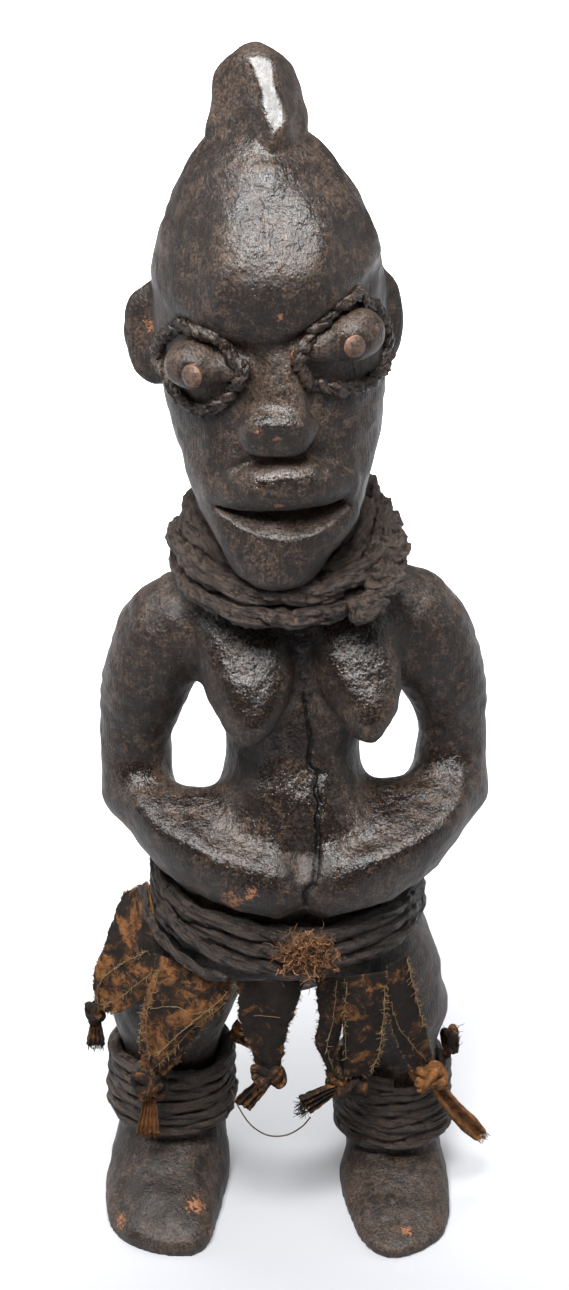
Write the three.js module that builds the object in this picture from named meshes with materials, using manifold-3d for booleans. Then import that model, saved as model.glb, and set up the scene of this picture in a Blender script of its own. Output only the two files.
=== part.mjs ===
// A carved wooden standing figure with a fin crest. Tacks and nails mark its eyes, twisted cords ring
// the eyes, neck and hips, wrappings bind its shins, and cloth strips hang from the hip cords.
// Millimetres, +Z up, soles on z = 0. The figure faces -Y; "right" and "left" are its own sides,
// so its right side is at -X.
import * as THREE from "three";
import { mergeVertices } from "three/addons/utils/BufferGeometryUtils.js";
import Module from "manifold-3d";

const wasm = await Module();
wasm.setup();

// ---- driving dimensions, millimetres ----
const height = 450; // soles to the top of the crest
const boxMiddle = new THREE.Vector3(2, -9.2, 0); // middle of the outer box, seen from the neck's axis
const clearance = 0.35; // gap between touching pieces
const shin = {
  right: { x: -43.8, y: 1, radius: 19.5, wrapBottom: 27.6, footTop: 24 },
  left: { x: 42.4, y: 1, radius: 17.6, wrapBottom: 19.6, footTop: 16 },
};
const wrap = { radius: 2.4, pitch: 5.3, turns: 5.5 }; // shin wrapping: one strip wound round and round
const hipCord = { radius: 3.1, pitch: 6.5 };
const neckCord = { radius: 4 };
const tack = { headRadius: 3.9, headHeight: 1.8, shankRadius: 0.9, shankLength: 7 };
const nail = { headRadius: 2, headHeight: 0.9, shankRadius: 0.8, shankLength: 6 };
const eyeCordRadius = 1.6;
const cloth = 2.2; // thickness of a stiffened, folded strip
const threadRadius = 0.3;
const neckSteps = 24; // facets along each neck cord
const hipSteps = 28;

const vec = (x, y, z) => new THREE.Vector3(x, y, z);
const up = vec(0, 0, 1);

// ---- solids from rings of points ----
// The rings run from first to last; each turns counter-clockwise seen from the last ring's side.
function skin(rings, closed) {
  const sides = rings[0].length;
  const bands = closed ? rings.length : rings.length - 1;
  const points = rings.flat();
  const index = [];
  for (let i = 0; i < bands; i++)
    for (let j = 0; j < sides; j++) {
      const next = (j + 1) % sides;
      const above = ((i + 1) % rings.length) * sides;
      const a = i * sides + j;
      const b = i * sides + next;
      index.push(a, b, above + next, a, above + next, above + j);
    }
  if (!closed) addCaps(rings, points, index);
  return new THREE.BufferGeometry().setFromPoints(points).setIndex(index);
}

function addCaps(rings, points, index) {
  const sides = rings[0].length;
  const middle = (ring) => ring.reduce((sum, p) => sum.add(p), vec(0, 0, 0)).divideScalar(sides);
  const first = points.push(middle(rings[0])) - 1;
  const last = points.push(middle(rings.at(-1))) - 1;
  const top = (rings.length - 1) * sides;
  for (let j = 0; j < sides; j++) {
    const next = (j + 1) % sides;
    index.push(first, next, j, last, top + j, top + next);
  }
}

// A level elliptical ring.
function levelRing([z, x, y, halfWidth, halfDepth], sides = 20) {
  return Array.from({ length: sides }, (_, i) => {
    const angle = (2 * Math.PI * i) / sides;
    return vec(x + halfWidth * Math.cos(angle), y + halfDepth * Math.sin(angle), z);
  });
}

const stack = (sections, sides) => skin(sections.map((section) => levelRing(section, sides)), false);

// A round body of changing thickness through [x, y, z, radius] stations.
function limb(stations, steps, sides = 12) {
  const curve = new THREE.CatmullRomCurve3(stations.map(([x, y, z]) => vec(x, y, z)));
  const radii = stations.map((station) => station[3]);
  const radiusAt = (u) => {
    const place = curve.getUtoTmapping(u) * (radii.length - 1);
    const i = Math.min(Math.floor(place), radii.length - 2);
    return THREE.MathUtils.lerp(radii[i], radii[i + 1], place - i);
  };
  return tube(curve, radiusAt, steps, sides, false);
}

function tube(curve, radiusAt, steps, sides, closed) {
  const frames = curve.computeFrenetFrames(steps, closed);
  const rings = [];
  for (let i = 0; i < (closed ? steps : steps + 1); i++) {
    const middle = curve.getPointAt(i / steps);
    const radius = radiusAt(i / steps);
    rings.push(
      Array.from({ length: sides }, (_, j) => {
        const angle = (2 * Math.PI * j) / sides;
        return middle
          .clone()
          .addScaledVector(frames.normals[i], radius * Math.cos(angle))
          .addScaledVector(frames.binormals[i], radius * Math.sin(angle));
      }),
    );
  }
  return skin(rings, closed);
}

const cordLoop = (points, radius, steps, sides = 6) =>
  tube(new THREE.CatmullRomCurve3(points, true), () => radius, steps, sides, true);

const cordRun = (points, radiusAt, steps, sides = 8) =>
  tube(new THREE.CatmullRomCurve3(points), radiusAt, steps, sides, false);

function ellipsoid([x, y, z], [rx, ry, rz], turn = [0, 0, 0], wide = 12, high = 8) {
  return new THREE.SphereGeometry(1, wide, high)
    .scale(rx, ry, rz)
    .rotateX(turn[0])
    .rotateY(turn[1])
    .rotateZ(turn[2])
    .translate(x, y, z);
}

// A sheet hanging from its first row to its last. A row is [left end, right end, bulge to the front].
function hangingSheet(rows, outward, thickness = cloth, columns = 5) {
  const facing = outward.clone().normalize();
  const push = facing.clone().multiplyScalar(thickness / 2);
  const rings = rows.map(([left, right, bulge = 0]) => {
    const points = Array.from({ length: columns }, (_, i) => {
      const along = i / (columns - 1);
      return left.clone().lerp(right, along).addScaledVector(facing, bulge * Math.sin(Math.PI * along));
    });
    const front = points.map((p) => p.clone().add(push)).reverse();
    const back = points.map((p) => p.clone().sub(push));
    return [...front, ...back];
  });
  return skin(rings, false);
}

// ---- joining and cutting ----
function solidOf(geometry) {
  const bare = geometry.clone();
  bare.deleteAttribute("normal");
  bare.deleteAttribute("uv");
  const merged = mergeVertices(bare, 1e-4);
  return new wasm.Manifold(
    new wasm.Mesh({
      numProp: 3,
      vertProperties: new Float32Array(merged.attributes.position.array),
      triVerts: new Uint32Array(merged.index.array),
    }),
  );
}

function geometryOf(solid) {
  const mesh = solid.getMesh();
  return new THREE.BufferGeometry()
    .setAttribute("position", new THREE.BufferAttribute(new Float32Array(mesh.vertProperties), 3))
    .setIndex(new THREE.BufferAttribute(new Uint32Array(mesh.triVerts), 1));
}

const joined = (geometries) => geometries.map(solidOf).reduce((whole, part) => whole.add(part));

// Turns a shape made along +Z to point along a way, and puts its origin at a point.
function aimed(geometry, at, way) {
  const turn = new THREE.Quaternion().setFromUnitVectors(up, way.clone().normalize());
  return geometry.applyQuaternion(turn).translate(at.x, at.y, at.z);
}

// Planes flats on a body. Each flat is a point on it and the way that it faces.
function planed(geometry, flats) {
  const body = flats.reduce((left, [point, way]) => {
    const block = new THREE.BoxGeometry(240, 240, 120).translate(0, 0, 60);
    return left.subtract(solidOf(aimed(block, vec(...point), vec(...way))));
  }, solidOf(geometry));
  return geometryOf(body);
}

// An upright body with a smooth outline, walked counter-clockwise seen from above.
function slab(outline, bottom, top, sides = 22) {
  const curve = new THREE.CatmullRomCurve3(outline.map(([x, y]) => vec(x, y, 0)), true);
  const ring = curve.getSpacedPoints(sides).slice(0, sides);
  return skin([bottom, top].map((z) => ring.map((p) => p.clone().setZ(z))), false);
}

// ---- the carving ----
function head() {
  const skull = stack([
    [268, -3, -31, 3, 4],
    [272, -3, -31, 11, 10],
    [279, -2.5, -28, 17.5, 15.5],
    [289, -1.5, -20, 25.5, 22],
    [303, -2, -11, 32, 29],
    [320, -2.5, -4, 36.5, 33],
    [338, -4, -1, 39, 34],
    [356, -5, 2, 40, 36],
    [375, -6, 4, 39.3, 39.4],
    [392, -6.5, 4, 34.5, 36],
    [407, -7, 4, 27, 29],
    [417, -8, 4, 19, 21],
    [424, -9, 5, 9, 11],
  ]);
  const bridge = limb([[-2, -30, 358, 6], [-1.2, -33.2, 348, 7.6], [-1, -36.5, 338, 8.6]], 4, 8);
  const upperLip = [
    [-22.5, -27, 303, 5],
    [-13, -35, 307.5, 6.8],
    [-2.5, -38.2, 309.5, 7.5],
    [9, -36.8, 310, 7.2],
    [20, -28.5, 306, 5.4],
  ];
  const lowerLip = [
    [-21.5, -26, 291.5, 3],
    [-14.5, -32.5, 287.5, 4.6],
    [-3, -35.5, 286, 5.2],
    [6, -35, 287, 5.2],
    [14.5, -30.5, 290, 4.6],
    [21, -26, 293.5, 3],
  ];
  return [
    skull,
    crest(),
    forehead(),
    ellipsoid([-44, 6, 347.5], [12, 4.4, 19.5]),
    ellipsoid([30.5, 6, 351.5], [11, 4.4, 19.5]),
    planed(bridge, [[[-1, -40.6, 348], [0, -0.95, 0.3]]]),
    planed(ellipsoid([-2.5, -40.5, 332.6], [14.4, 9.8, 8], [0, 0, 0], 14, 8), [[[0, -48, 333], [0, -1, -0.1]]]),
    ellipsoid([-12, -37, 330], [6, 6, 5], [0, 0, 0], 8, 6),
    ellipsoid([7.5, -37, 331], [6, 6, 5], [0, 0, 0], 8, 6),
    limb(upperLip, 7, 8),
    limb(lowerLip, 8, 8),
    ellipsoid([-2, -27, 279.5], [14.5, 11, 11.5]),
    ...eyes.flatMap((eye) => [
      ellipsoid(eye.middle, [15, 11, 10.5], [0, 0, eye.turn]),
      ellipsoid([eye.tack.x, -33, eye.tack.z + 0.6], [7.4, 7.4, 7.4], [0, 0, 0], 10, 8),
    ]),
  ];
}

// The crest is a fin with flats planed on its front, top and sides.
function crest() {
  const halfHeight = 25.8;
  return planed(ellipsoid([-9.5, 7, height - halfHeight], [17.8, 23, halfHeight], [0, 0, 0], 20, 12), [
    [[-4, -8.5, 432], [0.06, -0.87, 0.48]],
    [[-6, -9.7, 430], [-0.68, -0.7, 0.22]],
    [[2.5, -9, 430], [0.93, -0.34, 0.14]],
    [[-25.3, 8, 427], [-1, 0, 0.12]],
    [[-18.2, 8, 445.2], [-0.62, 0, 0.78]],
    [[4.2, 6, 443.2], [0.82, 0, 0.57]],
  ]);
}

// The forehead stands out over the eyes in a wide V.
const forehead = () => planed(ellipsoid([-4.5, -12, 379], [39, 30.5, 33], [0, 0, 0], 20, 12), [
  [[-9, -42, 358], [-0.3, -0.1, -0.92]],
  [[-3, -42, 359], [0.64, -0.1, -0.72]],
  [[0, 0, 353], [0, 0, -1]],
  [[-31, -20, 388], [-0.82, -0.45, 0.35]],
  [[23.5, -20, 392], [0.8, -0.5, 0.33]],
  [[-4, -37, 392], [0, -0.8, 0.6]],
]);

// The left eye sits higher than the right: the head is rolled a little. Each ring goes round the eye,
// as places across and up, and passes outside the nail in its inner corner.
const eyes = [
  {
    side: "right",
    middle: [-25.5, -29, 350.5],
    turn: -0.5,
    tack: vec(-30.8, -40, 350.7),
    nail: vec(-14.2, -37.2, 350.2),
    ring: [
      [-43.3, 349], [-38.5, 359.5], [-31, 363.6], [-22.5, 361.2], [-14.5, 357.3],
      [-9.6, 351.2], [-13.5, 344.8], [-20, 340], [-29.6, 334], [-38.3, 337.5],
    ],
  },
  {
    side: "left",
    middle: [17, -29, 359.5],
    turn: 0.45,
    tack: vec(23.2, -40, 361.3),
    nail: vec(3.9, -37.5, 356.9),
    ring: [
      [-0.6, 356.4], [1.8, 362.4], [11.1, 367.8], [20.1, 374.2], [28.6, 371.6], [34.5, 359],
      [35.6, 348.5], [30.5, 341.5], [20.4, 341.6], [11, 345.5], [3, 351.2],
    ],
  },
];

function trunk() {
  const body = stack([
    [88, 0, 2, 22, 15],
    [100, 0, 1, 38, 26],
    [112, 0.5, -1, 43, 31],
    [125, 1, -2, 44, 33],
    [138, 1, -2, 43, 33],
    [150, 2, -3, 36, 29],
    [165, 3, -3, 28.5, 27],
    [180, 3, -2, 25, 25],
    [196, 3, -1, 25, 24],
    [211, 3, 0, 31, 23],
    [226, 2, 1, 40, 22],
    [239, 2, 2, 46, 21],
    [249, 2, 2, 42, 19],
    [257, 1, 1, 30, 16],
    [263, 0, 0, 20, 15],
    [300, 0, 2, 17, 16],
  ]);
  const breasts = [
    limb([[-15, -4, 240, 20.5], [-15, -19, 229, 17.4], [-15.4, -33.5, 212.5, 4.4]], 5),
    limb([[21, -4, 242, 20.5], [25.5, -19, 231, 17], [30.5, -33, 215.5, 5.6]], 5),
  ];
  const buttocks = [-20, 21].map((x) => ellipsoid([x, 13, 110], [22, 24, 20]));
  const belly = ellipsoid([5, -16, 166], [24, 19.5, 27], [0, 0, 0], 16, 10);
  const lowerBelly = ellipsoid([1, -20, 153], [36, 23.5, 14.5], [0, 0, 0], 16, 8);
  return [body, ...breasts, ...buttocks, belly, lowerBelly];
}

function arms() {
  const upperArms = [
    [
      [-31, 3, 244, 16], [-43, 4, 237, 18.5], [-48.5, 5, 222, 17], [-51.8, 5, 208, 15.2],
      [-54.4, 6, 194, 13.6], [-55, 5, 180, 13], [-55, 4, 170, 13],
    ],
    [
      [34, 3, 247, 16], [48, 4, 241, 18.5], [54.5, 5, 226, 17.5], [60, 5, 209, 14.2],
      [61.8, 6, 195, 12.6], [61.8, 5, 182, 12.8], [61, 4, 172, 13.6],
    ],
  ];
  return [...upperArms.map((stations) => limb(stations, 12)), rightForearm(), leftForearm()];
}

// Each forearm is a slab with its hand on the belly. Its flat top slopes down to the front.
function rightForearm() {
  const outline = [
    [-63.5, -4], [-61, -15], [-48, -31], [-34, -42], [-20, -47], [-8, -46.5], [0, -42],
    [-1, -34], [-12, -26], [-20, -16], [-23, -4], [-32, 8], [-46, 12], [-60, 10],
  ];
  return planed(slab(outline, 138, 190), [
    [[-35, -20, 173.4], [0.06, -0.45, 1]],
    [[-30, -44, 139], [0, 0.1, -1]],
    [[-59, -14, 161], [-0.8, -0.25, -0.5]],
    [[-35, -9, 177.5], [0, 0.75, 0.66]],
    [[-20, -45, 158], [-0.25, -0.9, -0.16]],
    [[-42, -34, 158], [-0.62, -0.72, -0.3]],
    [[-60, -6, 179], [-0.75, 0, 0.66]],
  ]);
}

function leftForearm() {
  const outline = [
    [70, 10], [52, 12], [38, 8], [30, -4], [27, -16], [20, -26], [14, -34], [13, -40],
    [17, -44], [26, -47], [37, -46.5], [50, -40.5], [62, -29], [71, -14], [73.5, -4],
  ];
  return planed(slab(outline, 138, 194), [
    [[40, -20, 174.3], [-0.1, -0.45, 1]],
    [[30, -44, 139], [0, 0.1, -1]],
    [[68, -14, 162], [0.8, -0.25, -0.5]],
    [[38, -6, 180], [0, 0.75, 0.66]],
    [[34, -45, 158], [0.25, -0.9, -0.16]],
    [[54, -34, 158], [0.62, -0.72, -0.3]],
    [[70, -6, 183], [0.75, 0, 0.66]],
  ]);
}

// Sole outlines, walked counter-clockwise seen from above: the inner ankle, then heel or toe.
const soles = {
  right: [
    [-22, -10], [-24, 8], [-36, 20], [-54, 20], [-66, 4],
    [-69, -24], [-66, -45], [-56, -56], [-40, -61], [-29, -54],
  ],
  left: [
    [22, -10], [25, -36], [31, -55], [41, -62], [54, -56],
    [62, -44], [64, -20], [61, 6], [50, 20], [33, 20],
  ],
};

// A blocky foot: the sole's outline rises straight, then slopes back to the shin's circle.
function foot(side) {
  const { x, y, radius, footTop } = shin[side];
  const sides = 18;
  const outline = new THREE.CatmullRomCurve3(soles[side].map(([px, py]) => vec(px, py, 0)), true);
  const sole = outline.getSpacedPoints(sides).slice(0, sides);
  // Each pair is a share of the height, and the share of the way in towards the shin.
  const slope = [[0, 0], [0.28, 0.02], [0.5, 0.25], [0.75, 0.65], [1, 1]];
  const rings = slope.map(([rise, inward]) =>
    sole.map((p) => {
      const angle = Math.atan2(p.y - y, p.x - x);
      const ankle = vec(x + radius * Math.cos(angle), y + radius * Math.sin(angle), 0);
      return p.clone().lerp(ankle, inward).setZ(rise * footTop);
    }),
  );
  return skin(rings, false);
}

function legs() {
  return ["right", "left"].flatMap((side) => {
    const { x, y, radius, footTop } = shin[side];
    const thigh = Math.sign(x);
    const sections = [
      [footTop - 4, x, y, radius, radius],
      [62, x, y, radius, radius],
      [72, x - 0.5 * thigh, y - 0.5, radius + 3, radius + 3],
      [86, x - 4 * thigh, y - 1, radius + 4.5, radius + 4.5],
      [100, x - 9 * thigh, y - 1, 24, 24],
      [116, x - 15 * thigh, y, 24, 25],
    ];
    return [stack(sections, 18), foot(side)];
  });
}

// A turned pin with a domed head, made along +Z with the head's underside at z = 0.
function pinGeometry({ headRadius, headHeight, shankRadius, shankLength }) {
  const dome = [1, 0.92, 0.7, 0.38].map((share, i) =>
    new THREE.Vector2(headRadius * share, headHeight * [0.25, 0.6, 0.88, 0.98][i]),
  );
  const profile = [
    new THREE.Vector2(0, -shankLength),
    new THREE.Vector2(shankRadius * 0.4, -shankLength + 0.6),
    new THREE.Vector2(shankRadius, -shankLength + 2.5),
    new THREE.Vector2(shankRadius, 0),
    new THREE.Vector2(headRadius, 0),
    ...dome,
    new THREE.Vector2(0, headHeight),
  ];
  return new THREE.LatheGeometry(profile, 10).rotateX(Math.PI / 2);
}

// The seat that a pin needs: its bore, and the wood cleared away around its head.
function pinSeat({ headRadius, shankRadius, shankLength }) {
  const bore = shankRadius + clearance;
  const profile = [
    new THREE.Vector2(0, -shankLength - 1),
    new THREE.Vector2(bore, -shankLength - 1),
    new THREE.Vector2(bore, -clearance),
    new THREE.Vector2(headRadius + 1, -clearance),
    new THREE.Vector2(headRadius + 1.6, 9),
    new THREE.Vector2(0, 9),
  ];
  return new THREE.LatheGeometry(profile, 8).rotateX(Math.PI / 2);
}

const outwardAt = (x) => vec(x * 0.018, -1, 0.12);

// The cord round an eye lies in a shallow groove on the face, which is round about an upright axis.
function eyeCord({ ring }, radius) {
  const face = { x: -4.5, y: 3.6, halfWidth: 41.5, depth: 42.6 };
  const points = ring.map(([x, z]) => {
    const across = (x - face.x) / face.halfWidth;
    return vec(x, face.y - face.depth * Math.sqrt(1 - across * across), z);
  });
  return cordLoop(points, radius, 24);
}

function carvedFigure() {
  const wood = joined([...trunk(), ...arms(), ...legs(), ...head()]);
  const mouth = planed(ellipsoid([-0.5, -38, 295], [26, 19, 13], [0, 0, 0], 16, 10), [
    [[0, -40, 300.5], [0.03, 0, 1]],
    [[0, -34, 293.2], [0, 0.666, -0.745]],
  ]);
  const cuts = [
    mouth,
    ...eyes.flatMap((eye) => [
      eyeCord(eye, eyeCordRadius + clearance),
      aimed(pinSeat(tack), eye.tack, outwardAt(eye.tack.x)),
      aimed(pinSeat(nail), eye.nail, outwardAt(eye.nail.x)),
    ]),
    ...neckCordPaths.map((points) => cordLoop(points, neckCord.radius + clearance, neckSteps)),
    ...[1, 2].map((row) => cordLoop(hipCordPath(row), hipCord.radius + clearance, hipSteps)),
  ];
  return geometryOf(cuts.map(solidOf).reduce((left, cut) => left.subtract(cut), wood));
}

// ---- cords round the neck ----
// Each loop hangs lower at the front than at the back: front, left, back and right heights.
const neckCordPaths = [
  [258, 264, 272, 265],
  [266.6, 273, 281, 274],
  [269, 282, 290, 283],
].map(([front, left, back, right], i) => {
  const reach = [36, 34.5, 25][i];
  const half = [37.2, 37, 32.5][i];
  const leftHalf = [31.5, 31, 26][i];
  return [
    vec(1, -reach, front),
    vec(1 + leftHalf * 0.72, -reach * 0.72, (front * 2 + left) / 3),
    vec(2 + leftHalf, -4, left),
    vec(2 + leftHalf * 0.7, 19, (left + back) / 2),
    vec(1, 26, back),
    vec(-half * 0.7, 19, (right + back) / 2),
    vec(-half, -4, right),
    vec(1 - half * 0.72, -reach * 0.72, (front * 2 + right) / 3),
  ];
});

function neckPlait() {
  const route = [
    vec(30, 22, 286),
    vec(37.5, 11, 282),
    vec(40.8, -4, 275.5),
    vec(38.5, -18, 268.5),
    vec(31, -30, 261.5),
  ];
  return cordRun(route, (u) => 2.8 + 1.2 * Math.sin(Math.PI * u), 16, 10);
}

// ---- cords round the hips ----
function hipCordPath(row) {
  const lift = row * hipCord.pitch;
  const front = 117 + lift;
  const left = 120.5 + lift;
  const back = 128 + lift;
  const right = 126 + lift;
  const halfWidth = 48.2;
  const diagonal = halfWidth * 0.76;
  return [
    vec(4, -41, front),
    vec(diagonal, -28, (front + left) / 2 + 0.3),
    vec(1 + halfWidth, 1, left),
    vec(diagonal, 30.5, (left + back) / 2),
    vec(1, 37.5, back),
    vec(-diagonal, 30.5, (right + back) / 2),
    vec(1 - halfWidth, 1, right),
    vec(-diagonal, -27, (front + right) / 2 + 0.5),
  ];
}

const hipFrontCord = () => cordRun(
  [vec(-44.6, -26.4, 131.5), vec(-36, -34.8, 127.6), vec(-23, -43.6, 122.6), vec(-9, -48, 120.4)],
  (u) => 2.8 - 1.2 * u,
  12,
  6,
);

const fibreTuft = () => ellipsoid([8, -47.9, 127.5], [10.5, 3.2, 9.5], [0.25, 0, 0], 12, 8);

// ---- wrappings round the shins ----
class Winding extends THREE.Curve {
  constructor({ x, y, radius, wrapBottom }) {
    super();
    Object.assign(this, { x, y, wrapBottom });
    this.reach = radius + wrap.radius + 2 * clearance;
  }
  getPoint(t, target = new THREE.Vector3()) {
    const angle = 2 * Math.PI * wrap.turns * t + Math.PI / 2;
    const z = this.wrapBottom + wrap.pitch * wrap.turns * t;
    return target.set(this.x + this.reach * Math.cos(angle), this.y + this.reach * Math.sin(angle), z);
  }
}

const shinWrap = (side) =>
  tube(new Winding(shin[side]), () => wrap.radius, Math.round(wrap.turns * 14), 5, false);

// ---- cloth ----
const front = vec(0, -1, 0);

function rightApronBack() {
  return hangingSheet(
    [
      [vec(-60.5, -6, 127.5), vec(-46.5, -21, 138.5)],
      [vec(-64.8, -10, 116.1), vec(-46, -27, 122)],
      [vec(-68.3, -12, 105.9), vec(-44, -28.5, 112)],
      [vec(-72, -14, 94.5), vec(-48, -28, 102)],
      [vec(-71, -15, 86.6), vec(-54.5, -26.5, 92.5)],
      [vec(-64.8, -20.8, 83.3), vec(-61, -23.2, 85.8)],
    ],
    vec(-0.75, -0.65, 0.05),
  );
}

function rightApronFront() {
  return hangingSheet(
    [
      [vec(-47.5, -30, 116), vec(-18.6, -42.5, 112.2)],
      [vec(-50, -33, 105), vec(-21, -42, 103), 1],
      [vec(-53, -35, 93), vec(-29, -39, 91), 2],
      [vec(-54, -34, 79), vec(-37, -37, 77), 2],
      [vec(-54, -33, 67), vec(-45, -35, 65)],
    ],
    front,
  );
}

// A pinched knot with a flat frayed tail below it.
function knotWithTail(knot, size, tailTop, tailEnd, widths, outward = front) {
  const along = tailEnd.clone().sub(tailTop);
  const across = along.clone().cross(outward).normalize();
  const row = (share, width) => {
    const middle = tailTop.clone().addScaledVector(along, share);
    return [
      middle.clone().addScaledVector(across, width / 2),
      middle.clone().addScaledVector(across, -width / 2),
    ];
  };
  const halfway = (widths[0] + widths[1]) / 2;
  const tail = hangingSheet([row(0, widths[0]), row(0.5, halfway), row(1, widths[1])], outward);
  const lump = ellipsoid(knot.toArray(), size, [0, 0, 0], 12, 8);
  return geometryOf(joined([lump, tail]));
}

function centreStrip() {
  const strip = hangingSheet(
    [
      [vec(-17.5, -42, 111.6), vec(7.2, -42, 111.6)],
      [vec(-17, -42, 102), vec(4.8, -42, 102), 0.8],
      [vec(-15.5, -42, 90), vec(1.2, -42, 90), 1.2],
      [vec(-11.5, -42, 79), vec(-0.5, -42, 79), 1],
      [vec(-9.5, -42, 72), vec(-2, -42, 72)],
    ],
    front,
  );
  const tailTop = vec(-8, -42, 68);
  const tailEnd = vec(-15.5, -42, 56.5);
  const knot = knotWithTail(vec(-5.8, -42, 69.5), [7, 4, 5], tailTop, tailEnd, [7, 6.5]);
  return geometryOf(solidOf(strip).add(solidOf(knot)));
}

const leftInnerStrip = () => hangingSheet(
  [
    [vec(11.5, -42, 113), vec(21.3, -42.5, 113.5)],
    [vec(12, -41, 102), vec(21, -41, 102), 0.6],
    [vec(12.6, -39.5, 91), vec(20.8, -39, 91), 1],
    [vec(11.5, -37.5, 82), vec(20, -37, 82), 2],
    [vec(15, -36, 73), vec(20, -36, 73), 1],
    [vec(17, -34.5, 64.8), vec(21.3, -34.5, 64.8)],
  ],
  front,
);

const leftMiddleStrip = () => hangingSheet(
  [
    [vec(22.2, -44, 114.8), vec(37, -41.5, 115.5)],
    [vec(21.8, -42.5, 104), vec(37.6, -40.5, 104), 0.8],
    [vec(21.6, -40.5, 91), vec(37.2, -39, 91), 1],
    [vec(22, -38, 77), vec(36, -37.5, 77), 0.8],
    [vec(22.6, -35.8, 65), vec(31.5, -35.6, 65)],
  ],
  front,
);

const leftOuterStrip = () => hangingSheet(
  [
    [vec(38, -39, 116), vec(45, -34, 116.5)],
    [vec(38.6, -38.4, 104), vec(48, -32.6, 104), 0.6],
    [vec(40, -36.6, 90), vec(51, -29.6, 90), 1],
    [vec(44, -32.4, 76), vec(54, -25.6, 76), 1],
    [vec(49, -29, 65.5), vec(56, -22.6, 65.5)],
  ],
  vec(0.3, -1, 0),
);

const rightTieKnot = () => ellipsoid([-51, -32.4, 58.6], [7, 4.2, 5.4], [0, 0, 0], 12, 8);

function rightTieTail() {
  return hangingSheet(
    [
      [vec(-53.6, -32.6, 51.9), vec(-48.4, -32.6, 51.9)],
      [vec(-55, -32.6, 45), vec(-47.4, -32.6, 45)],
      [vec(-56, -32.6, 37.5), vec(-47.4, -32.6, 37.5)],
    ],
    front,
  );
}

const rightCornerTail = () =>
  knotWithTail(vec(-72, -15.8, 79.8), [3.6, 3.6, 3.8], vec(-72, -15.8, 78), vec(-72, -15.8, 66), [4.4, 7]);

const rightInnerFlap = () => hangingSheet(
  [
    [vec(-20, -8, 66), vec(-15.6, -10, 66)],
    [vec(-17, -9, 61.5), vec(-12.6, -10, 61)],
  ],
  vec(0.8, -0.6, 0),
);

const leftInnerTie = () =>
  knotWithTail(vec(23.5, -33, 58.4), [8.2, 4.6, 4.6], vec(18, -33.2, 56.5), vec(7.6, -34.5, 51), [5, 9]);

function leftOuterTie() {
  const tailTop = vec(58, -26, 54);
  const tailEnd = vec(76.4, -15, 22);
  return knotWithTail(vec(54.6, -26.2, 58), [7.5, 5, 5.2], tailTop, tailEnd, [7, 7.5], vec(0.35, -0.9, 0.1));
}

const leftBackTie = () => ellipsoid([64.4, 4, 53.8], [3.4, 4.8, 5.6], [0, 0, 0], 10, 8);

// A single thread hanging in a loop from one shin's wrapping to the other's tie.
const looseThread = () => cordRun(
  [
    vec(-20.4, -19, 47),
    vec(-17.4, -26, 43.6),
    vec(-12.8, -31.6, 39.6),
    vec(-6.4, -34.6, 37),
    vec(0.6, -35.4, 37.6),
    vec(6.4, -35.4, 41.4),
    vec(9.8, -35.2, 45.8),
  ],
  () => threadRadius,
  28,
);

// ---- the object ----
const finishes = {
  wood: { color: 0x2a211c, roughness: 0.5, metalness: 0 },
  cord: { color: 0x332822, roughness: 0.8, metalness: 0 },
  fibre: { color: 0x7a4a26, roughness: 0.95, metalness: 0 },
  copper: { color: 0x9a6a4c, roughness: 0.4, metalness: 1 },
  iron: { color: 0x5a3222, roughness: 0.8, metalness: 0.6 },
  cloth: { color: 0x40342a, roughness: 0.95, metalness: 0 },
};

const figure = new THREE.Group();
figure.position.copy(boxMiddle).negate();

function addPiece(name, geometry, finish) {
  const material = new THREE.MeshStandardMaterial(finishes[finish]);
  const mesh = new THREE.Mesh(geometry, material);
  mesh.name = name;
  figure.add(mesh);
}

addPiece("carved_figure", carvedFigure(), "wood");
for (const eye of eyes) {
  addPiece(eye.side + "_eye_tack", aimed(pinGeometry(tack), eye.tack, outwardAt(eye.tack.x)), "copper");
  addPiece(eye.side + "_eye_nail", aimed(pinGeometry(nail), eye.nail, outwardAt(eye.nail.x)), "iron");
  addPiece(eye.side + "_eye_cord", eyeCord(eye, eyeCordRadius), "cord");
}
const neckCordNames = ["neck_cord_lower", "neck_cord_middle", "neck_cord_upper"];
neckCordNames.forEach((name, i) => {
  addPiece(name, cordLoop(neckCordPaths[i], neckCord.radius, neckSteps), "cord");
});
addPiece("neck_plait", neckPlait(), "cord");
const hipCordNames = ["hip_cord_lower", "hip_cord_middle", "hip_cord_upper"];
hipCordNames.forEach((name, i) => {
  addPiece(name, cordLoop(hipCordPath(i), hipCord.radius, hipSteps), "cord");
});
addPiece("hip_cord_front", hipFrontCord(), "cord");
addPiece("fibre_tuft", fibreTuft(), "fibre");
addPiece("right_shin_wrap", shinWrap("right"), "cord");
addPiece("left_shin_wrap", shinWrap("left"), "cord");
addPiece("right_apron_back", rightApronBack(), "cloth");
addPiece("right_apron_front", rightApronFront(), "cloth");
addPiece("right_corner_tail", rightCornerTail(), "cloth");
addPiece("right_tie_knot", rightTieKnot(), "cloth");
addPiece("right_tie_tail", rightTieTail(), "cloth");
addPiece("right_inner_flap", rightInnerFlap(), "cloth");
addPiece("centre_strip", centreStrip(), "cloth");
addPiece("left_inner_strip", leftInnerStrip(), "cloth");
addPiece("left_middle_strip", leftMiddleStrip(), "cloth");
addPiece("left_outer_strip", leftOuterStrip(), "cloth");
addPiece("left_inner_tie", leftInnerTie(), "cloth");
addPiece("left_outer_tie", leftOuterTie(), "cloth");
addPiece("left_back_tie", leftBackTie(), "cloth");
addPiece("loose_thread", looseThread(), "fibre");

export default figure;
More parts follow.
